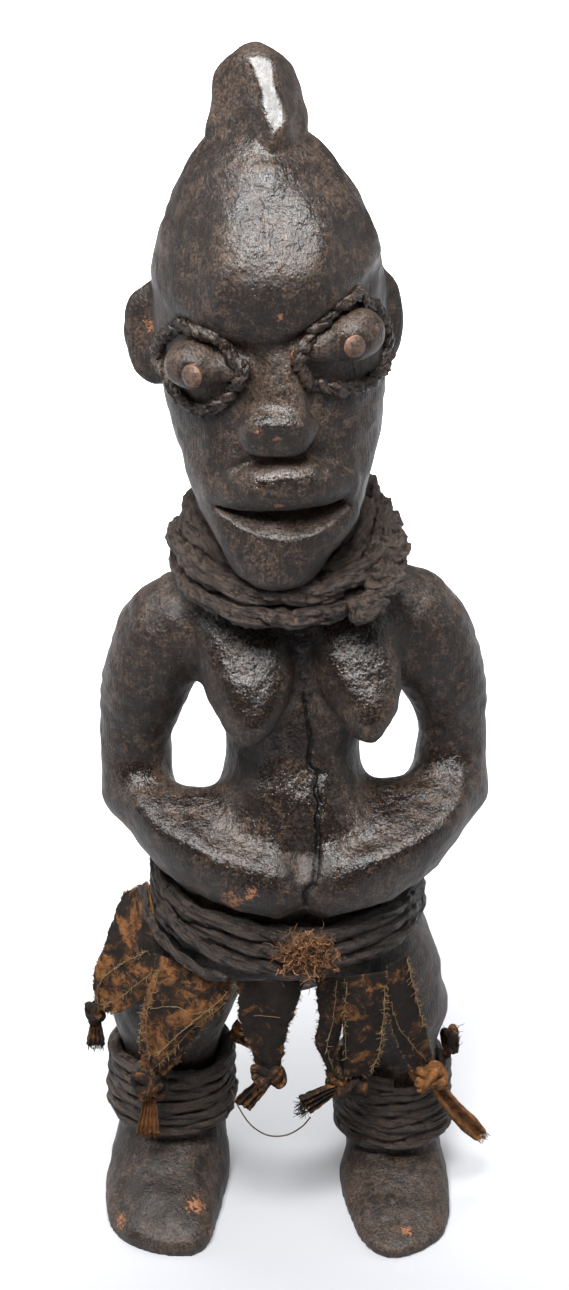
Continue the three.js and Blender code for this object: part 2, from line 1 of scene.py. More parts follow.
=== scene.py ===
"""Looks for a carved wooden figure with cord bindings and hanging cloth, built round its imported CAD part.

Shapes are worked out in millimetres in the figure's own axes, whose origin is on the floor under the
neck, and are moved into the frame's metres when a mesh is made. The figure faces -Y.
"""

import math

import bmesh
import bpy
import numpy as np
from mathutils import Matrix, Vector


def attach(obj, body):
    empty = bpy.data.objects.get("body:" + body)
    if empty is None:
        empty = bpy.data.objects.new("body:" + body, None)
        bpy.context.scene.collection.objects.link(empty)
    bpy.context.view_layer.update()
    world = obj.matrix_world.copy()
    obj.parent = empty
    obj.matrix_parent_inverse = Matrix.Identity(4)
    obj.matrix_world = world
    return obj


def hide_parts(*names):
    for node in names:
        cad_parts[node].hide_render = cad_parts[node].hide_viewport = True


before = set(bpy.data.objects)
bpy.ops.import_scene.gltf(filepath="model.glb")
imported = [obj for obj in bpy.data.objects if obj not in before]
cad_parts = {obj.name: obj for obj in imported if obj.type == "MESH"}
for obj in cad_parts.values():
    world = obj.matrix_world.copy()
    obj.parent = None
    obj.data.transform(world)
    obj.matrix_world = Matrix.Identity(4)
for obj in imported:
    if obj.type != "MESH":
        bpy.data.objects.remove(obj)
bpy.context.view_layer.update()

# ---- the frame ----
AXIS = np.array([-2.0, 9.2, 0.0])  # the neck's axis seen from the frame's origin, mm
METRES = 0.001
BODY = "figure"


def to_frame(points):
    """Figure's own millimetres to the frame's metres."""
    return (np.asarray(points, float) + AXIS) * METRES


# ---- camera, floor and light ----
CAMERA_PLACE = [0, -1015, 755]  # mm, in the figure's axes
CAMERA_AIM = [0, 0, 229]
SENSOR_WIDTH = 36  # mm
LENS = 88.13  # mm
CLIP_END = 50  # m
WORLD_COLOUR = (0.96, 0.98, 1, 1)
WORLD_STRENGTH = 0.13
FLOOR_SIZE = 30  # m


def add_camera():
    data = bpy.data.cameras.new("camera")
    camera = bpy.data.objects.new("camera", data)
    bpy.context.scene.collection.objects.link(camera)
    camera.location = to_frame(CAMERA_PLACE)
    aim = Vector(to_frame(CAMERA_AIM)) - camera.location
    camera.rotation_euler = aim.to_track_quat("-Z", "Y").to_euler()
    data.sensor_width = SENSOR_WIDTH
    data.lens = LENS
    data.clip_end = CLIP_END
    bpy.context.scene.camera = camera


def add_area_light(name, place, aim, size, power, spread=180):
    data = bpy.data.lights.new(name, "AREA")
    data.shape = "RECTANGLE"
    data.size, data.size_y = size
    data.energy = power
    data.spread = math.radians(spread)
    light = bpy.data.objects.new(name, data)
    bpy.context.scene.collection.objects.link(light)
    light.location = place
    light.rotation_euler = (Vector(aim) - light.location).to_track_quat("-Z", "Y").to_euler()


def add_studio():
    scene = bpy.context.scene
    scene.view_settings.view_transform = "Standard"
    world = bpy.data.worlds.new("studio")
    world.use_nodes = True
    world.node_tree.nodes["Background"].inputs["Color"].default_value = WORLD_COLOUR
    world.node_tree.nodes["Background"].inputs["Strength"].default_value = WORLD_STRENGTH
    scene.world = world
    add_area_light("overhead softbox", (-0.12, -0.5, 1.16), (0, 0, 0.25), (0.56, 0.5), 31)
    add_area_light("left softbox", (-1.3, 0.1, 0.7), (0, 0, 0.3), (0.5, 1.0), 4)
    add_area_light("right softbox", (1.35, 0.1, 0.7), (0, 0, 0.3), (0.4, 1.0), 4)
    add_area_light("floor wash", (0, 0.75, 1.5), (0, 1.15, 0), (2.6, 0.8), 95, spread=95)
    bpy.ops.mesh.primitive_plane_add(size=FLOOR_SIZE)
    floor = bpy.context.object
    floor.name = "floor"
    floor.data.materials.append(floor_material())


# ---- materials ----
class Recipe:
    """A node material, written as calls."""

    def __init__(self, name):
        self.material = bpy.data.materials.new(name)
        self.material.use_nodes = True
        self.tree = self.material.node_tree
        self.shader = self.tree.nodes["Principled BSDF"]

    def node(self, kind, inputs=(), **settings):
        made = self.tree.nodes.new(kind)
        for key, value in settings.items():
            setattr(made, key, value)
        for key, value in dict(inputs).items():
            self.feed(made.inputs[key], value)
        return made

    def feed(self, socket, value):
        if isinstance(value, bpy.types.NodeSocket):
            self.tree.links.new(value, socket)
        elif isinstance(value, tuple) and len(value) == 3 and socket.type == "RGBA":
            socket.default_value = (*value, 1)
        else:
            socket.default_value = value

    def place(self):
        """Where a point is, in millimetres."""
        spot = self.node("ShaderNodeTexCoord").outputs["Object"]
        return self.scaled(spot, (1000, 1000, 1000))

    def mark(self, name):
        """A value or vector that the mesh's points carry."""
        return self.node("ShaderNodeAttribute", attribute_name=name)

    def scaled(self, vector, by):
        return self.node("ShaderNodeVectorMath", {0: vector, 1: by}, operation="MULTIPLY").outputs[0]

    def noise(self, vector, size, detail=4, roughness=0.55, distortion=0.0):
        """Soft noise whose lumps are about size across, in the vector's units."""
        inputs = {
            "Vector": vector,
            "Scale": 1 / size,
            "Detail": detail,
            "Roughness": roughness,
            "Distortion": distortion,
        }
        return self.node("ShaderNodeTexNoise", inputs).outputs["Fac"]

    def cells(self, vector, size, feature="F1"):
        inputs = {"Vector": vector, "Scale": 1 / size}
        return self.node("ShaderNodeTexVoronoi", inputs, feature=feature).outputs["Distance"]

    def math(self, operation, a, b=0.0, clamp=False):
        return self.node("ShaderNodeMath", {0: a, 1: b}, operation=operation, use_clamp=clamp).outputs[0]

    def step(self, value, low, high):
        """0 below low and 1 above high, smooth between."""
        inputs = {"Value": value, "From Min": low, "From Max": high}
        return self.node("ShaderNodeMapRange", inputs, interpolation_type="SMOOTHSTEP").outputs["Result"]

    def between(self, share, low, high):
        """A value that runs from low to high as share runs from 0 to 1."""
        inputs = {"Value": share, "To Min": low, "To Max": high}
        return self.node("ShaderNodeMapRange", inputs).outputs["Result"]

    def mix(self, share, first, second, blend="MIX"):
        made = self.node("ShaderNodeMix", data_type="RGBA", blend_type=blend)
        sockets = {s.identifier: s for s in made.inputs}
        self.feed(sockets["Factor_Float"], share)
        self.feed(sockets["A_Color"], first)
        self.feed(sockets["B_Color"], second)
        return next(s for s in made.outputs if s.identifier == "Result_Color")

    def bump(self, height, depth, strength=1.0, under=None):
        """Relief whose height of 0 to 1 stands for depth in millimetres."""
        inputs = {"Height": height, "Distance": depth * METRES, "Strength": strength}
        if under is not None:
            inputs["Normal"] = under
        return self.node("ShaderNodeBump", inputs).outputs["Normal"]

    def finish(self, colour, roughness, normal=None, **constants):
        self.feed(self.shader.inputs["Base Color"], colour)
        self.feed(self.shader.inputs["Roughness"], roughness)
        if normal is not None:
            self.feed(self.shader.inputs["Normal"], normal)
        for key, value in constants.items():
            self.shader.inputs[key.replace("_", " ")].default_value = value
        return self.material


def floor_material():
    made = Recipe("pale paper")
    spot = made.place()
    grain = made.noise(spot, 60, 2)
    colour = made.mix(grain, (0.425, 0.429, 0.445), (0.438, 0.442, 0.458))
    # Painted shade: the floor is coloured darker towards the camera, standing in for less light reaching its
    # front.
    behind = made.node("ShaderNodeVectorMath", {0: spot, 1: (0, 1, 0)},
                       operation="DOT_PRODUCT").outputs["Value"]
    colour = made.mix(made.step(behind, -20, -130), colour, (0.36, 0.368, 0.395))
    return made.finish(colour, made.between(grain, 0.85, 0.95), Specular_IOR_Level=0.1)


def wood_material():
    """Old dark wood: polished where it was handled, dusty in the hollows, raw where it is chipped."""
    made = Recipe("patinated wood")
    spot = made.place()
    hollow = made.mark("hollow").outputs["Fac"]
    ridge = made.mark("ridge").outputs["Fac"]
    chip = made.mark("chip").outputs["Fac"]
    polish = made.mark("polish").outputs["Fac"]
    settled = made.mark("settled").outputs["Fac"]
    facet = made.mark("facet").outputs["Fac"]
    grain_way = made.scaled(spot, (1, 1, 0.1))
    broad = made.noise(spot, 18, 3, 0.6)
    blotch = made.noise(spot, 3.6, 7, 0.7, 0.25)
    relief = made.noise(spot, 3.2, 3, 0.55)
    speck = made.noise(spot, 0.9, 4, 0.7)
    grain = made.noise(grain_way, 0.9, 4, 0.65)
    pits = made.cells(spot, 1.7)

    dusty = made.math("ADD", blotch, made.math("MULTIPLY", hollow, 0.3))
    dusty = made.math("ADD", dusty, made.math("MULTIPLY", made.math("SUBTRACT", broad, 0.5), 0.6))
    dusty = made.math("SUBTRACT", dusty, made.math("MULTIPLY", ridge, 0.12))
    dusty = made.math("SUBTRACT", dusty, made.math("MULTIPLY", polish, 0.06))
    dusty = made.math("ADD", dusty, made.math("MULTIPLY", settled, 0.12))
    dust = made.step(dusty, 0.43, 0.68)

    dark = made.mix(made.step(speck, 0.4, 0.62), (0.0055, 0.0036, 0.0028), (0.02, 0.0128, 0.0092))
    brown = made.mix(made.step(speck, 0.38, 0.62), (0.018, 0.0116, 0.0082), (0.078, 0.05, 0.0345))
    colour = made.mix(dust, dark, brown)
    grime = made.step(grain, 0.47, 0.39)
    colour = made.mix(made.math("MULTIPLY", grime, 0.65), colour, (0.006, 0.0045, 0.004))
    flecks = made.math("MULTIPLY", made.step(made.noise(spot, 0.9, 3, 0.8), 0.68, 0.75), 0.6)
    colour = made.mix(flecks, colour, (0.2, 0.09, 0.045))
    # Painted shade: the crack is coloured near-black, standing in for the shadow inside a crack narrower than
    # the mesh can show.
    colour = made.mix(made.step(made.mark("crack").outputs["Fac"], 0.05, 0.4), colour, (0.002, 0.0015, 0.001))
    torn = made.noise(spot, 1.7, 6, 0.75, 0.4)
    raw_edge = made.math("ADD", chip, made.math("MULTIPLY", made.math("SUBTRACT", torn, 0.5), 4.2))
    raw = made.math("MULTIPLY", made.step(raw_edge, 0.66, 0.8), made.step(chip, 0.05, 0.16))
    raw_wood = made.mix(made.noise(grain_way, 1.4, 5, 0.7), (0.09, 0.034, 0.015), (0.4, 0.18, 0.085))
    colour = made.mix(raw, colour, raw_wood)

    patch = made.step(made.noise(spot, 4.2, 7, 0.72, 0.3), 0.4, 0.58)
    worn = made.math("MULTIPLY", polish, made.between(patch, 0.95, 0.65))
    worn = made.math("MAXIMUM", worn, made.math("MULTIPLY", facet, 0.4))
    worn = made.math("ADD", worn, made.math("MULTIPLY", ridge, 0.25))
    matte = made.math("ADD", made.math("MULTIPLY", speck, 0.25), 0.42)
    matte = made.math("ADD", matte, made.math("MULTIPLY", raw, 0.2))
    roughness = made.math("SUBTRACT", matte, made.math("MULTIPLY", worn, 0.56))
    roughness = made.math("MAXIMUM", roughness, 0.16, clamp=True)

    pit = made.step(pits, 0.05, 0.4)
    plain = made.math("SUBTRACT", 1.0, made.math("MULTIPLY", facet, 0.9))
    uneven = made.math("MULTIPLY", made.between(polish, 0.4, 0.75), plain)
    normal = made.bump(relief, 1.1, uneven)
    normal = made.bump(pit, 0.22, made.math("MULTIPLY", plain, 0.6), normal)
    normal = made.bump(grain, 0.45, made.math("MULTIPLY", plain, 0.75), normal)
    normal = made.bump(made.math("SUBTRACT", 1.0, raw), 0.5, 0.8, normal)
    return made.finish(colour, roughness, normal, Specular_IOR_Level=0.42)


# ---- numbers along a line, and noise ----
def hermite(at, stations):
    """Smooth values through rows of [place, value, value, ...], at each place asked for."""
    rows = np.array(stations, float)
    rows = rows[np.argsort(rows[:, 0])]
    places, values = rows[:, 0], rows[:, 1:]
    slopes = np.gradient(values, places, axis=0)
    at = np.clip(at, places[0], places[-1])
    i = np.clip(np.searchsorted(places, at) - 1, 0, len(places) - 2)
    gap = (places[i + 1] - places[i])[:, None]
    t = ((at - places[i])[:, None]) / gap
    start = (1 + 2 * t) * (1 - t) ** 2 * values[i] + t * (1 - t) ** 2 * gap * slopes[i]
    end = t * t * (3 - 2 * t) * values[i + 1] + t * t * (t - 1) * gap * slopes[i + 1]
    return start + end


def spline(points, count, closed=False):
    """count points, evenly spaced along a smooth line through the given ones. Extra columns ride along."""
    points = np.array(points, float)
    if closed:
        ring = np.vstack([points[-1:], points, points[:2]])
    else:
        ring = np.vstack([2 * points[0] - points[1], points, 2 * points[-1] - points[-2]])
    p0, p1, p2, p3 = ring[:-3], ring[1:-2], ring[2:-1], ring[3:]
    t = np.linspace(0, 1, 24, endpoint=False)[:, None, None]
    fine = 0.5 * (2 * p1 + (p2 - p0) * t + (2 * p0 - 5 * p1 + 4 * p2 - p3) * t**2
                  + (3 * p1 - p0 - 3 * p2 + p3) * t**3)
    fine = fine.transpose(1, 0, 2).reshape(-1, points.shape[1])
    fine = np.vstack([fine, points[:1] if closed else points[-1:]])
    run = np.concatenate([[0], np.cumsum(np.linalg.norm(np.diff(fine[:, :3], axis=0), axis=1))])
    at = np.linspace(0, run[-1], count, endpoint=not closed)
    return np.column_stack([np.interp(at, run, column) for column in fine.T])


def lumps(points, size, seed):
    """Smooth noise from -1 to 1 whose lumps are about size across."""
    place = np.asarray(points, float) / size + seed * 17.3
    base = np.floor(place).astype(np.int64)
    share = place - base
    share = share * share * (3 - 2 * share)
    total = 0
    for corner in np.ndindex(2, 2, 2):
        spot = base + corner
        mixed = spot[:, 0] * 374761393 + spot[:, 1] * 668265263 + spot[:, 2] * 2147483647 + seed * 974711
        mixed = (mixed ^ (mixed >> 13)) * 1274126177
        mixed = (mixed ^ (mixed >> 16)) & 0xFFFFFF
        weight = np.prod(np.where(np.array(corner) == 1, share, 1 - share), axis=1)
        total = total + weight * (mixed / 0x7FFFFF - 1)
    return total


# ---- carving: solids as distances on a grid ----
FAR = 60.0


class Carving:
    """A solid on a grid: negative inside the wood, positive outside, in millimetres."""

    def __init__(self, low, high, step):
        self.low = np.array(low, float)
        self.step = step
        shape = np.ceil((np.array(high) - self.low) / step).astype(int) + 1
        self.values = np.full(shape, FAR, np.float32)

    def window(self, low, high, margin):
        first = np.floor((np.array(low) - margin - self.low) / self.step).astype(int)
        last = np.ceil((np.array(high) + margin - self.low) / self.step).astype(int) + 1
        first = np.clip(first, 0, self.values.shape)
        last = np.clip(last, 0, self.values.shape)
        part = tuple(slice(a, b) for a, b in zip(first, last))
        lines = [self.low[i] + self.step * np.arange(first[i], last[i]) for i in range(3)]
        grid = [line.reshape([-1 if i == j else 1 for j in range(3)]) for i, line in enumerate(lines)]
        return part, [g.astype(np.float32) for g in grid]

    def add(self, solid, soft=0.0):
        distance, low, high = solid
        part, grid = self.window(low, high, soft + 3 * self.step + 3)
        self.values[part] = smooth_least(self.values[part], distance(*grid), soft)

    def cut(self, solid, soft=0.0):
        distance, low, high = solid
        part, grid = self.window(low, high, soft + 3 * self.step + 3)
        self.values[part] = -smooth_least(-self.values[part], distance(*grid), soft)

    def at(self, points):
        """The distance at any points, and which way is out."""
        place = (np.asarray(points, float) - self.low) / self.step
        place = np.clip(place, 1, np.array(self.values.shape) - 3.001)
        base = np.floor(place).astype(int)
        share = place - base
        value = np.zeros(len(place))
        out = np.zeros((len(place), 3))
        for corner in np.ndindex(2, 2, 2):
            x, y, z = (base + corner).T
            weight = np.prod(np.where(np.array(corner) == 1, share, 1 - share), axis=1)
            value += weight * self.values[x, y, z]
            ahead = [self.values[x + 1, y, z], self.values[x, y + 1, z], self.values[x, y, z + 1]]
            behind = [self.values[x - 1, y, z], self.values[x, y - 1, z], self.values[x, y, z - 1]]
            out += weight[:, None] * (np.column_stack(ahead) - np.column_stack(behind))
        out /= 2 * self.step
        size = np.maximum(np.linalg.norm(out, axis=1), 0.3)
        return value / size, out / size[:, None]

    def settle(self, points, lift, rounds=10):
        """Moves points straight out or in until they are lift outside the wood."""
        points = np.array(points, float)
        for _ in range(rounds):
            distance, out = self.at(points)
            points -= (np.clip(distance - lift, -4, 4) * 0.8)[:, None] * out
        return points

    def surface(self):
        """Points and four-sided faces where the solid's skin is."""
        values, inside = self.values, self.values < 0
        size = np.array(values.shape)
        corners = list(np.ndindex(2, 2, 2))
        parts = [inside[i : size[0] - 1 + i, j : size[1] - 1 + j, k : size[2] - 1 + k] for i, j, k in corners]
        count = sum(part.astype(np.uint8) for part in parts)
        cells = np.argwhere((count > 0) & (count < 8))
        number = np.full(count.shape, -1, np.int32)
        number[tuple(cells.T)] = np.arange(len(cells))
        total = np.zeros((len(cells), 3))
        hits = np.zeros((len(cells), 1))
        faces = []
        for axis in range(3):
            along, across, over = (np.eye(3, dtype=int)[(axis + i) % 3] for i in range(3))
            for a, b in np.ndindex(2, 2):
                start = a * across + b * over
                first = values[tuple((cells + start).T)]
                second = values[tuple((cells + start + along).T)]
                crossed = ((first < 0) != (second < 0))[:, None]
                share = np.where(crossed[:, 0], first / np.where(first == second, 1, first - second), 0)
                total += crossed * (start + share[:, None] * along)
                hits += crossed
            near = inside[tuple(
                slice(0, n - 1) if i == axis else slice(1, n - 1) for i, n in enumerate(size))]
            far = inside[tuple(slice(1, n) if i == axis else slice(1, n - 1) for i, n in enumerate(size))]
            edge = np.argwhere(near != far) + (1 - along)
            outward = inside[tuple(edge.T)][:, None]
            around = [edge - across - over, edge - over, edge, edge - across]
            quads = np.column_stack([number[tuple(cell.T)] for cell in around])
            faces.append(np.where(outward, quads, quads[:, ::-1]))
        return self.low + self.step * (cells + total / hits), np.vstack(faces)


def smooth_least(a, b, soft):
    if soft <= 0:
        return np.minimum(a, b)
    blend = np.maximum(soft - np.abs(a - b), 0) / soft
    return np.minimum(a, b) - blend * blend * soft / 4


def turned(degrees):
    """A rotation matrix, turning about X, then Y, then Z."""
    made = np.eye(3)
    for axis, angle in enumerate(np.radians(degrees)):
        c, s = math.cos(angle), math.sin(angle)
        i, j = [(1, 2), (2, 0), (0, 1)][axis]
        one = np.eye(3)
        one[i, i], one[j, j], one[i, j], one[j, i] = c, c, -s, s
        made = one @ made
    return made


def ball(middle, radii, turn=(0, 0, 0)):
    """An ellipsoid."""
    way = turned(turn).T.astype(np.float32)
    radii = np.array(radii, np.float32)

    def distance(x, y, z):
        p = [x - middle[0], y - middle[1], z - middle[2]]
        q = [way[i, 0] * p[0] + way[i, 1] * p[1] + way[i, 2] * p[2] for i in range(3)]
        near = np.sqrt(sum((q[i] / radii[i]) ** 2 for i in range(3)))
        slope = np.sqrt(sum((q[i] / radii[i] ** 2) ** 2 for i in range(3)))
        return near * (near - 1) / np.maximum(slope, 1e-4)

    reach = radii if not any(turn) else np.full(3, radii.max())
    return distance, np.array(middle) - reach, np.array(middle) + reach


def stack(sections):
    """A solid of level ellipses [z, x, y, half width, half depth]."""
    rows = np.array(sections, float)

    def distance(x, y, z):
        shape = hermite(z.ravel(), rows).astype(np.float32)
        mx, my, rx, ry = (shape[:, i].reshape(z.shape) for i in range(4))
        px, py = (x - mx) / rx, (y - my) / ry
        near = np.sqrt(px**2 + py**2)
        slope = np.sqrt((px / rx) ** 2 + (py / ry) ** 2)
        flat = near * (near - 1) / np.maximum(slope, 1e-4)
        return np.maximum(flat, np.maximum(rows[0, 0] - z, z - rows[-1, 0]))

    reach = rows[:, 3:5].max(0)
    low = [rows[:, 1].min() - reach[0], rows[:, 2].min() - reach[1], rows[0, 0]]
    high = [rows[:, 1].max() + reach[0], rows[:, 2].max() + reach[1], rows[-1, 0]]
    return distance, np.array(low), np.array(high)


def limb(stations, steps=14, thin=(1, 1, 1)):
    """A round body through [x, y, z, radius] stations, thinned along an axis where thin is below 1."""
    run = spline(stations, steps)
    thin = np.array(thin, np.float32)

    def distance(x, y, z):
        best = None
        for a, b in zip(run[:-1], run[1:]):
            way = (b[:3] - a[:3]) / thin
            p = [(x - a[0]) / thin[0], (y - a[1]) / thin[1], (z - a[2]) / thin[2]]
            t = np.clip(sum(p[i] * way[i] for i in range(3)) / max(way @ way, 1e-9), 0, 1)
            gap = np.sqrt(sum((p[i] - t * way[i]) ** 2 for i in range(3)))
            d = (gap - (a[3] + t * (b[3] - a[3]))) * thin.min()
            best = d if best is None else np.minimum(best, d)
        return best

    reach = run[:, 3].max() * thin
    return distance, run[:, :3].min(0) - reach, run[:, :3].max(0) + reach


def faceted(shape, planes, soft):
    """A body with flats planed on it. Each plane is a point and the way that the flat faces."""
    inner, low, high = shape
    flats = [(point, np.array(way, float) / np.linalg.norm(way)) for point, way in planes]

    def distance(x, y, z):
        d = inner(x, y, z)
        for point, way in flats:
            plane = (x - point[0]) * way[0] + (y - point[1]) * way[1] + (z - point[2]) * way[2]
            d = -smooth_least(-d, -plane, soft)
        return d

    return distance, low, high


def prism(ring, bottom, top):
    """An upright body with an outline that is the same at every height."""
    ring = spline([[x, y, 0] for x, y in ring], 56, closed=True)[:, :2]

    def distance(x, y, z):
        flat = outline_distance(x[:, :, 0], y[:, :, 0], ring)[:, :, None]
        return np.maximum(flat, np.maximum(bottom - z, z - top)).astype(np.float32)

    low = [ring[:, 0].min(), ring[:, 1].min(), bottom]
    high = [ring[:, 0].max(), ring[:, 1].max(), top]
    return distance, np.array(low), np.array(high)


def pin_way(place):
    """Which way a pin in the face points."""
    way = np.array([place[0] * 0.018, -1, 0.12])
    return way / np.linalg.norm(way)


def peg(base, way, radius, length=12):
    """A flat-ended round peg that stands on base and points along way."""
    base, way = np.array(base, float), np.array(way, float)

    def distance(x, y, z):
        p = [x - base[0], y - base[1], z - base[2]]
        up = sum(p[i] * way[i] for i in range(3))
        out = np.sqrt(sum((p[i] - up * way[i]) ** 2 for i in range(3)))
        return np.maximum(out - radius, np.maximum(-up, up - length))

    ends = np.array([base, base + length * way])
    return distance, ends.min(0) - radius, ends.max(0) + radius


def half_space(point, normal, low, high):
    """Everything behind a plane, inside a box."""
    normal = np.array(normal, float) / np.linalg.norm(normal)

    def distance(x, y, z):
        return (x - point[0]) * normal[0] + (y - point[1]) * normal[1] + (z - point[2]) * normal[2]

    return distance, np.array(low, float), np.array(high, float)


def outline_distance(x, y, ring):
    """How far level points are outside a closed outline."""
    gap = None
    inside = np.zeros(np.broadcast(x, y).shape, bool)
    for (ax, ay), (bx, by) in zip(ring, np.roll(ring, -1, axis=0)):
        wx, wy = bx - ax, by - ay
        t = np.clip(((x - ax) * wx + (y - ay) * wy) / (wx * wx + wy * wy), 0, 1)
        d = (x - ax - t * wx) ** 2 + (y - ay - t * wy) ** 2
        gap = d if gap is None else np.minimum(gap, d)
        if ay != by:
            inside ^= ((ay > y) != (by > y)) & (x < ax + (y - ay) / (by - ay) * wx)
    return np.where(inside, -1, 1) * np.sqrt(gap)


def foot(sole, ankle, radius, top, slope):
    """A blocky foot: the sole's outline rises, then draws in to the ankle. slope is [share up, share in]."""
    ring = spline([[x, y, 0] for x, y in sole], 44, closed=True)[:, :2]
    angle = np.arctan2(ring[:, 1] - ankle[1], ring[:, 0] - ankle[0])
    shank = np.array(ankle) + radius * np.column_stack([np.cos(angle), np.sin(angle)])

    def distance(x, y, z):
        drawn = hermite(np.clip(z.ravel() / top, 0, 1), slope)[:, 0]
        layers = [outline_distance(x[:, :, 0], y[:, :, 0], ring + (shank - ring) * share) for share in drawn]
        return np.maximum(np.stack(layers, axis=2) * 0.8, np.maximum(-z, z - top - 2)).astype(np.float32)

    low = [ring[:, 0].min(), ring[:, 1].min(), 0]
    high = [ring[:, 0].max(), max(ring[:, 1].max(), shank[:, 1].max()), top + 2]
    return distance, np.array(low), np.array(high)


# ---- the carved figure ----
GRID = 1.1  # mm between the carving's grid points
EYES = {
    "right": {"tack": (-30.8, -40, 350.7), "nail": (-14.2, -37.2, 350.2)},
    "left": {"tack": (23.2, -40, 361.3), "nail": (3.9, -37.5, 356.9)},
}
SHINS = {
    "right": {"x": -43.8, "y": 1, "radius": 19.5, "wrap_bottom": 27.6, "foot_top": 24},
    "left": {"x": 42.4, "y": 1, "radius": 17.6, "wrap_bottom": 19.6, "foot_top": 16},
}
SOLES = {
    "right": [
        (-22, -10), (-24, 8), (-36, 20), (-54, 20), (-66, 4),
        (-69, -24), (-66, -45), (-56, -56), (-40, -61), (-29, -54),
    ],
    "left": [
        (22, -10), (25, -36), (31, -55), (41, -62), (54, -56),
        (62, -44), (64, -20), (61, 6), (50, 20), (33, 20),
    ],
}


CREST_FACET = (0.02, -0.85, 0.525)  # which way the crest's bright front facet looks


def carve_head(wood):
    skull = [
        [268, -3, -31, 3, 4],
        [272, -3, -31, 11, 10],
        [279, -2.5, -28, 17.5, 15.5],
        [289, -1.5, -20, 25.5, 22],
        [303, -2, -11, 32, 29],
        [320, -2.5, -4, 36.5, 33],
        [338, -4, -1, 39, 34],
        [356, -5, 2, 40, 36],
        [375, -6, 4, 39.3, 39.4],
        [392, -6.5, 4, 34.5, 36],
        [407, -7, 4, 27, 29],
        [417, -8, 4, 19, 21],
        [424, -9, 5, 9, 11],
        [426, -9, 5, 4, 5],
    ]
    wood.add(stack(skull), 0)
    crest_flats = [
        ((-2.5, -11, 430), CREST_FACET), ((-8, -9.4, 430), (-0.62, -0.76, 0.22)),
        ((0.8, -10, 430), (0.93, -0.25, 0.34)), ((-25.3, 8, 427), (-1, 0, 0.12)),
        ((-18.2, 8, 445), (-0.62, 0, 0.78)), ((4.2, 6, 443), (0.82, 0, 0.57)),
    ]
    wood.add(faceted(ball((-9.5, 7, 423.6), (17.8, 23, 25.8)), crest_flats, 0.8), 1.5)
    # The forehead stands out over the eyes in a wide V.
    dome_flats = [
        ((-9, -42, 358), (-0.3, -0.1, -0.92)), ((-3, -42, 359), (0.57, -0.1, -0.8)),
        ((0, 0, 353), (0, 0, -1)),
        ((-31, -20, 388), (-0.82, -0.45, 0.35)), ((23.5, -20, 392), (0.8, -0.5, 0.33)),
        ((-4, -37, 392), (0, -0.8, 0.6)),
    ]
    wood.add(faceted(ball((-4.5, -12, 379), (39, 30.5, 33)), dome_flats, 4), 3)
    for side, eye in EYES.items():
        tack, nail = np.array(eye["tack"]), np.array(eye["nail"])
        way, swell = np.sign(tack[0]), 6 if side == "right" else 7.6
        wood.cut(ball(tack + [2 * way, -8.5, -4], (13, 10, 11), (0, 0, 18 * -way)), 4)
        middle = 0.5 * tack + 0.5 * nail
        almond = [[tack[0] + 3 * way, -28.5, tack[2], swell], [middle[0], -31.5, middle[2], 0.86 * swell]]
        almond.append([nail[0], -33, nail[2], 4.2])
        wood.add(limb(almond, 8), 3)
        wood.add(ball(tack + [0, 8.6, 0.4], (8.8, 8.2, 8.4)), 3)
        wood.cut(peg(tack, pin_way(tack), 4.5), 0.8)
        wood.cut(peg(nail, pin_way(nail), 2.5), 0.8)
    wood.cut(limb([[5, -39, 347, 2.4], [13, -38, 341.5, 3.2], [23, -35, 339.5, 2.4]], 8), 2)
    # Nose: a narrow bridge, and a broad tip with a flat underside.
    bridge = limb([[-2, -30, 358, 6], [-1.2, -33.2, 348, 7.6], [-1, -36.5, 338, 8.6]], 8)
    wood.add(faceted(bridge, [((-1, -40.6, 348), (0, -0.95, 0.3))], 2), 2.5)
    tip_flats = [((0, -47.4, 332), (0, -1, -0.22)), ((0, -45.5, 339), (0, -0.5, 0.86)),
                 ((0, -42, 322.6), (0, -0.2, -1))]
    wood.add(faceted(ball((-2.5, -39, 331), (13, 11, 10.5)), tip_flats, 1.8), 1.5)
    wood.add(ball((-11, -37, 329.5), (4.6, 5, 4.4)), 2)
    wood.add(ball((6.5, -37, 330.5), (4.6, 5, 4.4)), 2)
    # Upper lip, lower lip and chin.
    upper_lip = [
        [-22.5, -27, 303.5, 5.6], [-13, -35, 308, 7.6], [-2.5, -38.2, 310, 8.4], [9, -36.8, 310.5, 8],
        [20, -28.5, 307, 6],
    ]
    wood.add(faceted(limb(upper_lip, 14), [((0, -45.4, 306), (0, -1, -0.2))], 2), 2)
    lower_lip = [
        [-21.5, -26, 291.5, 3], [-14.5, -32.5, 287.5, 4.6], [-3, -35.5, 286, 5.2], [6, -35, 287, 5.2],
        [14.5, -30.5, 290, 4.6], [21, -26, 293.5, 3],
    ]
    wood.add(limb(lower_lip, 14), 4)
    wood.add(ball((-2, -27, 279.5), (14.5, 11, 11.5)), 6)
    mouth_flats = [((0, -40, 300.8), (-0.06, 0, 1)), ((0, -43, 290.3), (-0.03, 0.52, -0.854))]
    wood.cut(faceted(ball((-0.5, -38, 295), (26.5, 19, 13)), mouth_flats, 0.6), 0.6)
    # Ears are plain plates.
    wood.add(ball((-44, 6, 347.5), (12, 4.4, 19.5), (0, -3, -8)), 2)
    wood.cut(ball((-51, 0, 348), (4.5, 3.4, 12)), 2)
    wood.add(ball((30.5, 6, 351.5), (11, 4.4, 19.5), (0, 3, 10)), 2)


